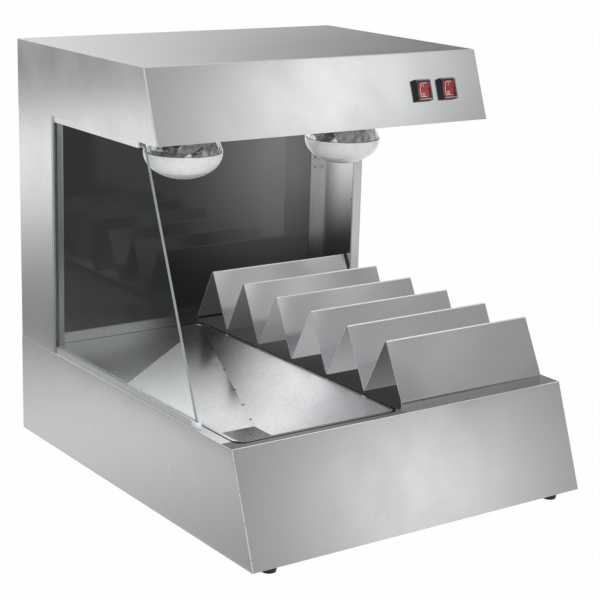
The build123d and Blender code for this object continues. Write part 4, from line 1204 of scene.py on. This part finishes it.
@dataclass
class HeatLamp:
    """Reflector heat lamp: frosted bowl, crinkled mirror and the clear bulb round it."""

    side: Side
    dome_mm: float = 42.0           # face to belt
    frost_over_belt_mm: float = 1.5
    waist_over_belt_mm: float = 70.0
    neck_mm: float = 19.0           # radius
    disc_mm: float = 46.5           # radius of the flat-looking disc in the bowl
    step_mm: float = 0.5
    wall_mm: float = 1.2
    bulb_gap_mm: float = 0.1        # between the frosted bowl and the clear bulb
    mirror_gap_mm: float = 0.4      # between the bowl and the mirror
    mirror_inset_mm: float = 2.6
    crease_mm: float = 2.4
    crease_out: float = 0.6         # a crease stands out by less than it goes in
    crease_stray: float = 0.3       # how far a crease strays along its ring, in steps
    steps: int = 96                 # faces round the bowl and the bulb
    dome_steps: int = 32
    flank_points: int = 24
    creases: int = 27               # round the mirror
    mirror_rows: int = 10
    round_rows: int = 2             # rows at the neck that stay round
    bowl_sharp: float = 25.0        # keeps the step round the disc crisp
    bulb_sharp: float = 60.0

    def dome(self, radius: float, inset: float = 0.0) -> list[FlatPoint]:
        """Lists the bowl's profile from its middle out to the belt, with the step round its disc.

        Args:
            radius: radius of the belt.
            inset: distance inside the outer skin.

        Returns:
            Radius and height over the face of each point.
        """
        tall, wide = self.dome_mm * MM - inset, radius - inset
        points = []
        for i in range(self.dome_steps + 1):
            turn = math.pi / 2 * i / self.dome_steps
            r, z = wide * math.sin(turn), inset + tall * (1 - math.cos(turn))
            if r < self.disc_mm * MM and not inset:
                z += self.step_mm * MM
            points.append((r, z))
        return points

    def flank(self, radius: float, inset: float, rows: int) -> list[FlatPoint]:
        """Lists the bulb's profile from the belt up to the neck.

        Args:
            radius: radius of the belt.
            inset: distance inside the outer skin.
            rows: number of points.

        Returns:
            Radius and height over the belt of each point.
        """
        wide, neck = radius - inset, self.neck_mm * MM - inset
        return [(neck + (wide - neck) * (0.5 + 0.5 * math.cos(math.pi * i / (rows - 1))),
                 self.waist_over_belt_mm * MM * i / (rows - 1)) for i in range(rows)]

    def build(self, materials: dict[str, bpy.types.Material], bulb_glass: bpy.types.Material) -> None:
        """Builds the bowl, the mirror and the bulb of one lamp.

        Args:
            materials: material of each slot.
            bulb_glass: material of the clear bulb.
        """
        low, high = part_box(f"lamp_{self.side.value}_face")
        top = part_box(f"lamp_{self.side.value}_reflector")[1]
        centre = Vector(((low.x + high.x) / 2, (low.y + high.y) / 2, low.z))
        radius = top.x - centre.x
        belt = self.dome_mm * MM
        rim = belt + self.frost_over_belt_mm * MM
        wall = self.wall_mm * MM
        body = f"lamp_{self.side.value}"
        outer = [*self.dome(radius), (radius, rim)]
        inner = [*self.dome(radius, wall), (radius - wall, rim)]
        bowl = lathe(f"{body}_frosted_bowl", outer + inner[::-1], centre, self.steps, self.bowl_sharp)
        bowl.data.materials.append(materials["frosted_glass"])
        finished(bowl, body, "frosted_glass", f"{body}_face")

        walls = []
        for inset in (0.0, wall):
            rise = [(r, z + belt) for r, z in self.flank(radius, inset, self.flank_points)][1:]
            walls.append([(radius - inset, rim + self.bulb_gap_mm * MM), *rise,
                          (self.neck_mm * MM - inset, top.z - centre.z)])
        bulb = lathe(f"{body}_clear_bulb", walls[0] + walls[1][::-1], centre, self.steps, self.bulb_sharp)
        bulb.data.materials.append(bulb_glass)
        finished(bulb, body, "clear_glass")

        mirror = self.mirror(body, radius, rim + self.mirror_gap_mm * MM, centre)
        mirror.data.materials.append(materials["lamp_mirror"])
        finished(mirror, body, "lamp_mirror", f"{body}_reflector")

    def mirror(self, body: str, radius: float, foot: float, centre: Vector) -> bpy.types.Object:
        """Crinkles the silvered mirror: a closed cup of uneven flat facets.

        Args:
            body: body that the lamp moves with.
            radius: radius of the belt.
            foot: height of the mirror's rim over the face.
            centre: foot of the axis.

        Returns:
            The mirror.
        """
        chance = random.Random(CREASE_SEEDS[self.side])
        rows = self.flank(radius, self.mirror_inset_mm * MM, self.mirror_rows)
        crease = self.crease_mm * MM
        vertices = [(centre.x, centre.y, centre.z + foot)]
        for row, (r, z) in enumerate(rows):
            loose = crease if 0 < row < self.mirror_rows - self.round_rows else 0.0
            for step in range(self.creases):
                stray = chance.uniform(-self.crease_stray, self.crease_stray) * (loose > 0)
                turn = 2 * math.pi * (step + 0.5 * (row % 2) + stray) / self.creases
                reach = r + chance.uniform(-loose, self.crease_out * loose)
                lift = z + chance.uniform(-loose, loose)
                vertices.append((centre.x + reach * math.cos(turn), centre.y + reach * math.sin(turn),
                                 centre.z + foot + lift))
        vertices.append((centre.x, centre.y, centre.z + foot + rows[-1][1]))
        faces = []
        last = 1 + (len(rows) - 1) * self.creases
        for step in range(self.creases):
            after = (step + 1) % self.creases
            faces.append((0, 1 + after, 1 + step))
            faces.append((len(vertices) - 1, last + step, last + after))
            for row in range(len(rows) - 1):
                a, b = 1 + row * self.creases, 1 + (row + 1) * self.creases
                quad = (a + step, a + after, b + after, b + step)
                cuts = ((0, 1, 2), (0, 2, 3)) if row % 2 else ((0, 1, 3), (1, 2, 3))
                faces.extend(tuple(quad[i] for i in cut) for cut in cuts)
        return mesh_object(f"{body}_crinkled_mirror", vertices, faces)


@dataclass
class SwitchCap:
    """Clear moulded cap over one switch, with a rounded rim that catches the light."""

    side: Side
    width_mm: float = 27.0
    height_mm: float = 31.4
    deep_mm: float = 6.5
    rim_mm: float = 1.4
    rim_steps: int = 4
    wall_mm: float = 0.7
    sharp_over: float = 35.0
    down_under: float = -0.9        # a face looks down if its normal's height is less than this

    def build(self, material: bpy.types.Material) -> None:
        """Moulds the cap over its solid.

        Args:
            material: the clear plastic.
        """
        low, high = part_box(f"switch_cover_{self.side.value}")
        work = bmesh.new()
        bmesh.ops.create_cube(work, size=1.0)
        size = Vector((self.width_mm, self.height_mm, self.deep_mm)) * MM
        bmesh.ops.scale(work, verts=work.verts, vec=size)
        foot = [f for f in work.faces if f.normal.z < self.down_under]
        rims = [e for e in work.edges if not any(f in foot for f in e.link_faces)]
        bmesh.ops.bevel(work, geom=rims, offset=self.rim_mm * MM, segments=self.rim_steps, profile=0.5,
                        affect="EDGES")
        foot = [f for f in work.faces if f.normal.z < self.down_under]
        bmesh.ops.delete(work, geom=foot, context="FACES_ONLY")
        bmesh.ops.recalc_face_normals(work, faces=work.faces)
        bmesh.ops.solidify(work, geom=work.faces, thickness=self.wall_mm * MM)
        place = Matrix.Translation((low + high) / 2) @ Matrix.Rotation(math.radians(90) - LEAN, 4, "X")
        work.transform(place)
        mesh = bpy.data.meshes.new(f"switch_cap_{self.side.value}")
        work.to_mesh(mesh)
        work.free()
        tidy_normals(mesh)
        mesh.shade_smooth()
        mesh.set_sharp_from_angle(angle=math.radians(self.sharp_over))
        mesh.materials.append(material)
        piece = bpy.data.objects.new(mesh.name, mesh)
        bpy.context.scene.collection.objects.link(piece)
        finished(piece, CABINET, "clear_cover", f"switch_cover_{self.side.value}")


@dataclass
class SwitchMarks:
    """Printed on and off marks on one rocker, a bar and a ring, with pale painted highlights round the lens.
    """

    side: Side
    ring_mm: float = 2.3
    ring_line_mm: float = 0.8
    bar_mm: float = 4.6
    bar_line_mm: float = 0.8
    up_mm: float = 6.6              # bar over and ring under the middle
    highlight_line_mm: float = 0.9
    highlight_from_middle_mm: float = 5.6
    highlight_half_mm: float = 10.0
    highlight_cross_mm: float = 10.4
    proud_mm: float = 0.12
    sunk_mm: float = 0.1            # how far the ink reaches into the rocker
    drop_mm: float = 30.0           # a point starts so far before the rocker
    drop_reach_mm: float = 80.0
    ring_steps: int = 28
    bar_steps: int = 12
    highlight_cross_steps: int = 8

    def outlines(self) -> list[tuple[list[FlatPoint], list[FlatPoint], bool]]:
        """Draws the marks on the switch's plane, in millimetres from its middle.

        Returns:
            Left edge, right edge and whether it closes on itself, for each strip.
        """
        turns = [2 * math.pi * i / self.ring_steps for i in range(self.ring_steps)]
        rings = [[(radius * math.cos(t), -self.up_mm + radius * math.sin(t)) for t in turns]
                 for radius in (self.ring_mm, self.ring_mm - self.ring_line_mm)]
        strips = [(rings[0], rings[1], True)]
        # the line at the left edge and the two lines across paint a highlight of the clear cap in the ink's
        # white
        edge, half_bar = self.highlight_from_middle_mm, self.bar_mm / 2
        for across, wide, foot, head in (
                (0.0, self.bar_line_mm, self.up_mm - half_bar, self.up_mm + half_bar),
                (-edge, self.highlight_line_mm, -self.highlight_half_mm, self.highlight_half_mm)):
            rows = [foot + (head - foot) * i / self.bar_steps for i in range(self.bar_steps + 1)]
            left, right = across - wide / 2, across + wide / 2
            strips.append(([(left, v) for v in rows], [(right, v) for v in rows], False))
        half = self.highlight_line_mm / 2
        rows = [-edge + 2 * edge * i / self.highlight_cross_steps for i in range(self.highlight_cross_steps + 1)]
        for level in (-self.highlight_cross_mm, self.highlight_cross_mm):
            strips.append(([(u, level + half) for u in rows], [(u, level - half) for u in rows], False))
        return strips

    def land(self, faces: BVHTree, middle: Vector, at_mm: FlatPoint, proud_mm: float) -> Vector:
        """Drops a point of the switch's plane on the rocker.

        Args:
            faces: faces of the rocker.
            middle: middle of the rocker.
            at_mm: the point, across and up from the middle.
            proud_mm: how far over the rocker it ends.

        Returns:
            Where it ends.
        """
        start = middle + (Vector((at_mm[0], 0, 0)) + FRONT_UP * at_mm[1] + FRONT_OUT * self.drop_mm) * MM
        hit = faces.ray_cast(start, -FRONT_OUT, self.drop_reach_mm * MM)[0]
        return (hit if hit is not None else middle) + FRONT_OUT * proud_mm * MM

    def build(self, nodes: dict[str, bpy.types.Object], material: bpy.types.Material) -> None:
        """Prints the marks where they land on the rocker.

        Args:
            nodes: objects of the solid model.
            material: the ink, which also paints the highlight lines.
        """
        rocker = nodes[f"switch_rocker_{self.side.value}"]
        low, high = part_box(rocker.name)
        middle = (low + high) / 2
        faces = BVHTree.FromPolygons([v.co for v in rocker.data.vertices],
                                     [tuple(p.vertices) for p in rocker.data.polygons])
        vertices: list[Vector] = []
        solid: list[tuple[int, ...]] = []
        for left, right, shut in self.outlines():
            first, count = len(vertices), len(left)
            for a, b in zip(left, right):
                corners = ((a, -self.sunk_mm), (b, -self.sunk_mm), (b, self.proud_mm), (a, self.proud_mm))
                vertices.extend(self.land(faces, middle, corner, proud_mm) for corner, proud_mm in corners)
            for i in range(count if shut else count - 1):
                here, there = first + 4 * i, first + 4 * ((i + 1) % count)
                solid.extend((here + k, here + (k + 1) % 4, there + (k + 1) % 4, there + k) for k in range(4))
            if not shut:
                solid.append(tuple(first + k for k in range(4)))
                solid.append(tuple(first + 4 * (count - 1) + k for k in (3, 2, 1, 0)))
        piece = mesh_object(f"switch_marks_{self.side.value}", vertices, solid)
        piece.data.materials.append(material)
        finished(piece, f"rocker_{self.side.value}", "terminal_white")


# ---------------------------------------------------------------- camera, floor and lights
@dataclass
class Viewpoint:
    """Camera of the main view."""

    place_mm: Point = (-1500.456, -2129.930, 973.113)
    turn: float = -35.4475      # degrees, as the next two
    down: float = 14.9048
    roll: float = 1.6163
    lens_mm: float = 100.218
    sensor_mm: float = 36.0
    far_end: float = 60.0

    def build(self) -> None:
        """Places the camera and makes it the scene's own."""
        data = bpy.data.cameras.new("main view")
        data.lens = self.lens_mm
        data.sensor_width = self.sensor_mm
        data.sensor_fit = "HORIZONTAL"
        data.clip_end = self.far_end
        camera = bpy.data.objects.new("main view", data)
        bpy.context.scene.collection.objects.link(camera)
        aim = (Matrix.Rotation(math.radians(self.turn), 4, "Z")
               @ Matrix.Rotation(math.radians(90 - self.down), 4, "X")
               @ Matrix.Rotation(math.radians(self.roll), 4, "Z"))
        camera.matrix_world = Matrix.Translation(Vector(self.place_mm) * MM) @ aim
        bpy.context.scene.camera = camera


@dataclass(frozen=True)
class Glow:
    """Soft bright oval on a card: its middle, its half sizes and its strength."""

    at: FlatPoint
    size: FlatPoint
    strength: float


@dataclass(frozen=True)
class Card:
    """Reflector card that only mirrors see: an even grey with soft bright ovals, fading out at its rim.

    Attributes:
        name: name of the card.
        centre: its middle, or the origin of its corners.
        facing: direction that its front looks.
        width: its width in metres.
        height: its height in metres.
        grey: its even level.
        glows: ovals of more light, placed from its middle.
        fades: width of the fade at its left, right, lower and upper rim.
        one_sided: whether it shows from its front alone.
        turn: degrees that a level card is turned by.
        opacity: how much it hides of what is behind it.
        corners: its outline, where it isn't a rectangle.
        before_glass: whether it shows only to a ray that hasn't met anything clear.
    """

    name: str
    centre: Point
    facing: Point
    width: float
    height: float
    grey: float
    glows: tuple[Glow, ...] = ()
    fades: tuple[float, float, float, float] = (0.1, 0.1, 0.1, 0.1)
    one_sided: bool = False
    turn: float = 0.0
    opacity: float = 1.0
    corners: tuple[FlatPoint, ...] = ()
    before_glass: bool = False

    def board(self) -> bpy.types.Object:
        """Makes the flat board and stands it in its place.

        Returns:
            The board, which only mirrors see.
        """
        wide, high = self.width / 2, self.height / 2
        outline = self.corners or ((-wide, -high), (wide, -high), (wide, high), (-wide, high))
        sheet = bpy.data.meshes.new(self.name)
        sheet.from_pydata([(*corner, 0) for corner in outline], [], [tuple(range(len(outline)))])
        board = bpy.data.objects.new(self.name, sheet)
        bpy.context.scene.collection.objects.link(board)
        facing = Vector(self.facing).normalized()
        if self.facing in (UPWARD, DOWNWARD):
            angle = math.radians(self.turn)
            along = Vector((math.cos(angle), math.sin(angle), 0))
        else:
            along = Vector(UPWARD).cross(facing).normalized()
        axes = Matrix((along, facing.cross(along), facing)).transposed()
        board.matrix_world = Matrix.Translation(self.centre) @ axes.to_4x4()
        board.visible_camera = False
        board.visible_diffuse = False
        board.visible_shadow = False
        board.visible_transmission = False
        return board

    def mask(self, tree: bpy.types.NodeTree) -> bpy.types.NodeSocket:
        """Fades the card out at its rims, and hides it where it isn't to be seen.

        Args:
            tree: node tree of the card's material.

        Returns:
            How much of the card shows.
        """
        place = add(tree, "ShaderNodeTexCoord").outputs["Object"]
        axes = add(tree, "ShaderNodeSeparateXYZ", {0: place})
        wide, high = self.width / 2, self.height / 2
        rims = (("X", -wide, 1), ("X", wide, -1), ("Y", -high, 1), ("Y", high, -1))
        factors = []
        for (axis, edge, inward), fade in zip(rims, self.fades):
            factors.append(add(tree, "ShaderNodeMapRange", {
                "Value": axes.outputs[axis], "From Min": edge, "From Max": edge + inward * fade},
                interpolation_type="SMOOTHSTEP").outputs[0])
        if self.one_sided:
            factors.append(front_side(tree))
        if self.before_glass:       # no clear surface met yet
            met = add(tree, "ShaderNodeLightPath").outputs["Transparent Depth"]
            factors.append(add(tree, "ShaderNodeMath", {0: met, 1: 0.5}, operation="LESS_THAN").outputs[0])
        shown: Any = self.opacity
        for factor in factors:
            shown = add(tree, "ShaderNodeMath", {0: shown, 1: factor}, operation="MULTIPLY").outputs[0]
        return shown

    def level(self, tree: bpy.types.NodeTree) -> bpy.types.NodeSocket | float:
        """Adds the glows to the card's grey.

        Args:
            tree: node tree of the card's material.

        Returns:
            Strength of the light that it sends.
        """
        place = add(tree, "ShaderNodeTexCoord").outputs["Object"]
        level: Any = self.grey
        for glow in self.glows:
            scaled = add(tree, "ShaderNodeMapping", {
                "Vector": place, "Location": (*glow.at, 0.0), "Scale": (*glow.size, 1.0)},
                vector_type="TEXTURE")
            square = add(tree, "ShaderNodeVectorMath", {0: scaled.outputs[0], 1: scaled.outputs[0]},
                         operation="DOT_PRODUCT").outputs["Value"]
            minus = add(tree, "ShaderNodeMath", {0: square, 1: -1.0}, operation="MULTIPLY").outputs[0]
            bell = add(tree, "ShaderNodeMath", {0: minus}, operation="EXPONENT").outputs[0]
            level = add(tree, "ShaderNodeMath", {0: bell, 1: glow.strength, 2: level},
                        operation="MULTIPLY_ADD").outputs[0]
        return level

    def build(self) -> None:
        """Builds the card and its light."""
        board = self.board()
        material, tree = surface(self.name)
        light = add(tree, "ShaderNodeEmission", {"Color": linear("#ffffff"), "Strength": self.level(tree)})
        clear = add(tree, "ShaderNodeBsdfTransparent")
        close(tree, add(tree, "ShaderNodeMixShader", {
            0: self.mask(tree), 1: clear.outputs[0], 2: light.outputs[0]}))
        board.data.materials.append(material)


@dataclass(frozen=True)
class SoftLamp:
    """Square studio lamp that looks at a point and that no mirror shows."""

    name: str
    place: Point
    target: Point
    size: float
    watts: float

    def build(self) -> None:
        """Hangs the lamp and turns it to its target."""
        data = bpy.data.lights.new(self.name, "AREA")
        data.size = self.size
        data.energy = self.watts
        lamp = bpy.data.objects.new(self.name, data)
        bpy.context.scene.collection.objects.link(lamp)
        aim = (Vector(self.target) - Vector(self.place)).to_track_quat("-Z", "Y")
        lamp.matrix_world = Matrix.Translation(self.place) @ aim.to_matrix().to_4x4()
        lamp.visible_glossy = False
        lamp.visible_camera = False


@dataclass
class Studio:
    """White floor and surround, even light, and the cards that shade the polished sheet.

    Polished sheet shows mostly what stands round it, so the cards give it its gradients. Those that stand
    close before one face are one-sided and paint light and shade on that face alone. Sizes are metres.
    """

    floor_size: float = 30.0
    floor_colour: str = "#e7e7e7"
    white_share: float = 0.985          # of the floor that shows as plain white; the rest keeps the shadow
    surround: float = 0.62              # level at which the white surround lights the object
    sharp: tuple[float, float, float, float] = (0.001, 0.001, 0.001, 0.001)     # fades of a sharp rim
    near: float = 0.0008                # gap between a face and the nearest card before it
    trim: float = 0.004                 # how much narrower such a card is than its face
    lamps: tuple[SoftLamp, ...] = (
        SoftLamp("key lamp", (-1.6, -1.8, 2.6), (0.0, 0.0, 0.3), 1.8, 42.0),
        SoftLamp("fill lamp", (2.2, -1.4, 1.8), (0.0, 0.0, 0.3), 1.6, 16.0),
        SoftLamp("bounce lamp", (-0.5, -1.0, 0.3), (0.0, 0.1, 0.52), 0.5, 4.0))
    cards: tuple[Card, ...] = (
        # mirrored by the sloped fronts of the base and the hood
        Card("right front card", (1.531, -2.1, 1.3), (-0.589, 0.808, 0.0), width=5.0, height=2.6, grey=0.46,
             glows=(Glow((0.148, -0.81), (0.3, 0.27), 1.15), Glow((-0.127, 0.455), (0.37, 0.25), 1.65))),
        # mirrored by the left sides
        Card("far floor card", (-3.2, 3.0, 0.002), UPWARD, width=5.76, height=8.0, grey=0.3,
             glows=(Glow((1.2, -0.4), (4.0, 1.0), 1.05), Glow((1.4, 0.4), (0.35, 0.5), 0.4),
                    Glow((0.8, 0.3), (0.35, 0.6), 0.55)), fades=(0.4, 0.01, 0.4, 0.4)),
        # mirrored by the foot of the left side
        Card("near floor card", (-0.455, 0.3, 0.004), UPWARD, width=0.27, height=2.4, grey=0.42,
             glows=(Glow((0.0, 0.0), (10.0, 0.5), 0.5),), fades=(0.03, 0.005, 0.2, 0.3)),
        # mirrored by the hood's top
        Card("rear card", (0.95, 1.5, 1.05), TO_FRONT, width=4.4, height=0.6, grey=0.02,
             glows=(Glow((-1.3, 0.0), (1.25, 0.3), 1.5),)),
        # mirrored by upright faces that look to the front
        Card("front floor card", (1.6, -1.9, 0.002), UPWARD, width=3.0, height=3.4, grey=0.15,
             glows=(Glow((0.27, -0.8), (0.54, 1.6), 1.35), Glow((0.06, 1.15), (0.25, 0.4), 0.65)), turn=26.6))

    def build(self) -> None:
        """Builds the surround, the floor, the lamps and the cards."""
        self.build_surround()
        self.build_floor()
        for lamp in self.lamps:
            lamp.build()
        near_cards = (*self.side_pane_cards(), *self.back_pane_cards(), *self.rack_cards(), self.hood_card(),
                      self.ledge_card())
        for card in (*self.cards, *near_cards):
            card.build()

    def side_pane_cards(self) -> tuple[Card, ...]:
        """Places the cards that the clear side pane mirrors: a painted dark reflection and a painted
        highlight.

        Returns:
            A dark card over the whole pane and a bright triangle at its front corner.
        """
        low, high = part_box("side_glass")
        deep, up = (high.y - low.y) / 2, (high.z - low.z) / 2
        slant = 2 * up * math.tan(LEAN)
        # painted reflection: a dark card just before the pane, seen only in its mirror
        dim = Card("dark card before the side pane", (low.x - 1.5 * self.near, low.y + deep, low.z + up),
                   TO_RIGHT, width=2 * deep, height=2 * up, grey=0.15, fades=self.sharp, one_sided=True,
                   corners=((-deep, -up), (deep, -up), (deep, up), (slant - deep, up)), before_glass=True)
        # painted highlight: a bright triangle just before the pane's front corner, seen only in its mirror
        gleam = Card("bright card before the side pane's front corner", (low.x - self.near, low.y, low.z),
                     TO_RIGHT, width=1.0, height=1.0, grey=2.15, fades=self.sharp, one_sided=True,
                     corners=((0.0, 0.0), (0.217, 0.0), (0.0434, 0.1193)), before_glass=True)
        return dim, gleam

    def back_pane_cards(self) -> tuple[Card, ...]:
        """Places the cards at the dark back pane: painted reflections, seen in the pane and in the polished
        parts before it.

        Returns:
            A card that fades to its right, a soft one for the back of the pane and a low one at the left.
        """
        low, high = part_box("back_glass")
        middle = (low + high) / 2
        wide, tall = high.x - low.x, high.z - low.z
        foot = 0.095                    # the graded card ends so far over the pane's foot
        glow_x, glow_z = 0.2, 0.46      # place of the soft card's glow in the room
        # painted reflection: polished parts before the pane mirror this bright card in the pane's place
        graded = Card("graded card before the back pane", (0.0, low.y - 0.003, middle.z + foot / 2), TO_FRONT,
                      width=wide, height=tall - foot, grey=1.42, fades=(0.02, 0.06, 0.22, 0.001),
                      one_sided=True)
        # painted reflection in the pane itself
        soft = Card("soft card before the back pane", (middle.x, low.y - 0.001, middle.z), TO_BACK,
                    width=wide, height=tall, grey=0.18,
                    glows=(Glow((middle.x - glow_x, glow_z - middle.z), (0.14, 0.16), 2.8),),
                    fades=self.sharp, one_sided=True, opacity=0.5)
        # painted reflection, low at the left
        low_left = Card("low card before the back pane", (-0.145, low.y - 0.002, low.z + 0.062), TO_FRONT,
                        width=0.28, height=0.12, grey=0.36, fades=(0.004, 0.12, 0.002, 0.05), one_sided=True)
        return graded, soft, low_left

    def rack_cards(self) -> tuple[Card, ...]:
        """Places the cards round the ridged rack; the two at the deck paint a reflection and shade.

        Returns:
            A card beside it, one that its undersides see in the deck, and a dark one over the deck.
        """
        low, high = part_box("rib_rack")
        middle = (low + high) / 2
        width, depth = high.x - low.x, high.y - low.y
        pane_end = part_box("back_glass")[1].x
        beside = Card("card beside the rack", (pane_end + 0.04, -0.25, 0.38), TO_LEFT,
                      width=0.74, height=0.36, grey=0.57,
                      glows=(Glow((-0.14, 0.07), (0.12, 0.09), 0.34), Glow((0.25, 0.02), (0.15, 0.08), 0.16)),
                      fades=(0.08, 0.04, 0.06, 0.005), one_sided=True)
        # painted reflection: what the rack's undersides mirror of the deck
        deck = Card("card on the deck under the rack", (middle.x, middle.y, low.z + self.near / 2), UPWARD,
                    width=width - self.trim, height=depth - self.trim, grey=0.08,
                    glows=(Glow((0.0, -0.05), (10.0, 0.15), 0.68),), fades=self.sharp, one_sided=True)
        # painted shade: a dark card over the deck, seen only in its mirror
        shade = Card("dark card over the deck under the rack", (middle.x, middle.y, low.z + self.near),
                     DOWNWARD, width=width + 0.01, height=depth - self.trim, grey=0.06,
                     glows=(Glow((0.1, 0.12), (0.12, 0.1), 0.12), Glow((-0.05, -0.1), (0.1, 0.12), 0.06)),
                     fades=self.sharp, one_sided=True)
        return beside, deck, shade

    def hood_card(self) -> Card:
        """Places the card under the hood that the rack's right half mirrors, a painted reflection.

        Returns:
            The card.
        """
        low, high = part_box("hood_underside_panel")
        return Card("card under the hood", (0.16, (low.y + high.y) / 2, low.z - 0.004), DOWNWARD,
                    width=0.26, height=high.y - low.y - 0.02, grey=0.4,
                    glows=(Glow((0.1, 0.0), (0.06, 0.14), 0.45),), fades=(0.02, 0.02, 0.02, 0.02),
                    one_sided=True)

    def ledge_card(self) -> Card:
        """Places the dark card over the front ledge, left of the rack: painted shade on the ledge.

        Returns:
            The card.
        """
        low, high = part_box("base_shell")
        pan_top, rack_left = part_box("chip_pan")[1].z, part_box("rib_rack")[0].x
        depth, setback = 0.028, 0.002
        front = low.y + (high.z - low.z) * math.tan(LEAN) + setback
        return Card("dark card over the front ledge",
                    ((low.x + rack_left) / 2, front + depth / 2, max(high.z, pan_top) + self.near), DOWNWARD,
                    width=rack_left - low.x - self.trim, height=depth, grey=0.2,
                    glows=(Glow((-0.05, 0.0), (0.12, 0.1), 0.15),), fades=self.sharp, one_sided=True)

    def seen_white(self, tree: bpy.types.NodeTree) -> bpy.types.NodeSocket:
        """Finds the rays that show the background: straight, mirrored or through glass.

        Args:
            tree: node tree that takes the nodes.

        Returns:
            1 for them and 0 for the rest.
        """
        path = add(tree, "ShaderNodeLightPath")
        some = add(tree, "ShaderNodeMath", {
            0: path.outputs["Is Camera Ray"], 1: path.outputs["Is Glossy Ray"]}, operation="MAXIMUM")
        return add(tree, "ShaderNodeMath", {0: some.outputs[0], 1: path.outputs["Is Transmission Ray"]},
                   operation="MAXIMUM").outputs[0]

    def build_surround(self) -> None:
        """Makes a world that is white where it is seen and lights the object at a plain level."""
        world = bpy.data.worlds.new("white surround")
        bpy.context.scene.world = world
        world.use_nodes = True
        tree = world.node_tree
        tree.nodes.clear()
        level = add(tree, "ShaderNodeMapRange", {"Value": self.seen_white(tree), "To Min": self.surround,
                                                 "To Max": 1.0})
        back = add(tree, "ShaderNodeBackground", {"Color": linear("#ffffff"), "Strength": level.outputs[0]})
        add(tree, "ShaderNodeOutputWorld", {"Surface": back.outputs[0]})

    def build_floor(self) -> None:
        """Lays the pale floor, which keeps a soft contact shadow and runs into the white surround."""
        half = self.floor_size / 2
        floor = mesh_object("floor", [(-half, -half, 0), (half, -half, 0), (half, half, 0), (-half, half, 0)],
                            [(0, 1, 2, 3)])
        material, tree = surface("white paper floor")
        paper = add(tree, "ShaderNodeBsdfDiffuse", {"Color": linear(self.floor_colour)})
        white = add(tree, "ShaderNodeEmission", {"Color": linear("#ffffff"), "Strength": 1.0})
        share = add(tree, "ShaderNodeMath", {0: self.seen_white(tree), 1: self.white_share},
                    operation="MULTIPLY")
        close(tree, add(tree, "ShaderNodeMixShader", {
            0: share.outputs[0], 1: paper.outputs[0], 2: white.outputs[0]}))
        floor.data.materials.append(material)


# ---------------------------------------------------------------- main
def dress_solids(frame: dict[str, Any], materials: dict[str, bpy.types.Material]) -> None:
    """Gives every node of the solid model the material of its slot.

    Args:
        materials: material of each slot.
    """
    for row in frame["record"]["subparts"]:
        node = frame["nodes"][row["node"]]
        node.data.materials.clear()
        node.data.materials.append(materials[row["material_slot"]])


def main() -> None:
    """Builds the scene round the solid model."""
    logging.basicConfig(level=logging.INFO, format="%(name)s: %(message)s")
    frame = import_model()
    Viewpoint().build()
    Studio().build()
    materials = {slot: finish.build() for slot, finish in FINISHES.items()}
    dress_solids(frame, materials)
    RibRack().build(materials)
    Fasteners().build(materials, frame["nodes"])
    FoldLines().build()
    bulb_glass = BlownGlass().build()
    for side in Side:
        HeatLamp(side).build(materials, bulb_glass)
        SwitchCap(side).build(materials["clear_cover"])
        SwitchMarks(side).build(frame["nodes"], materials["terminal_white"])
    scene = bpy.context.scene
    scene.view_settings.view_transform = "Standard"


if __name__ == "__main__":
    main()
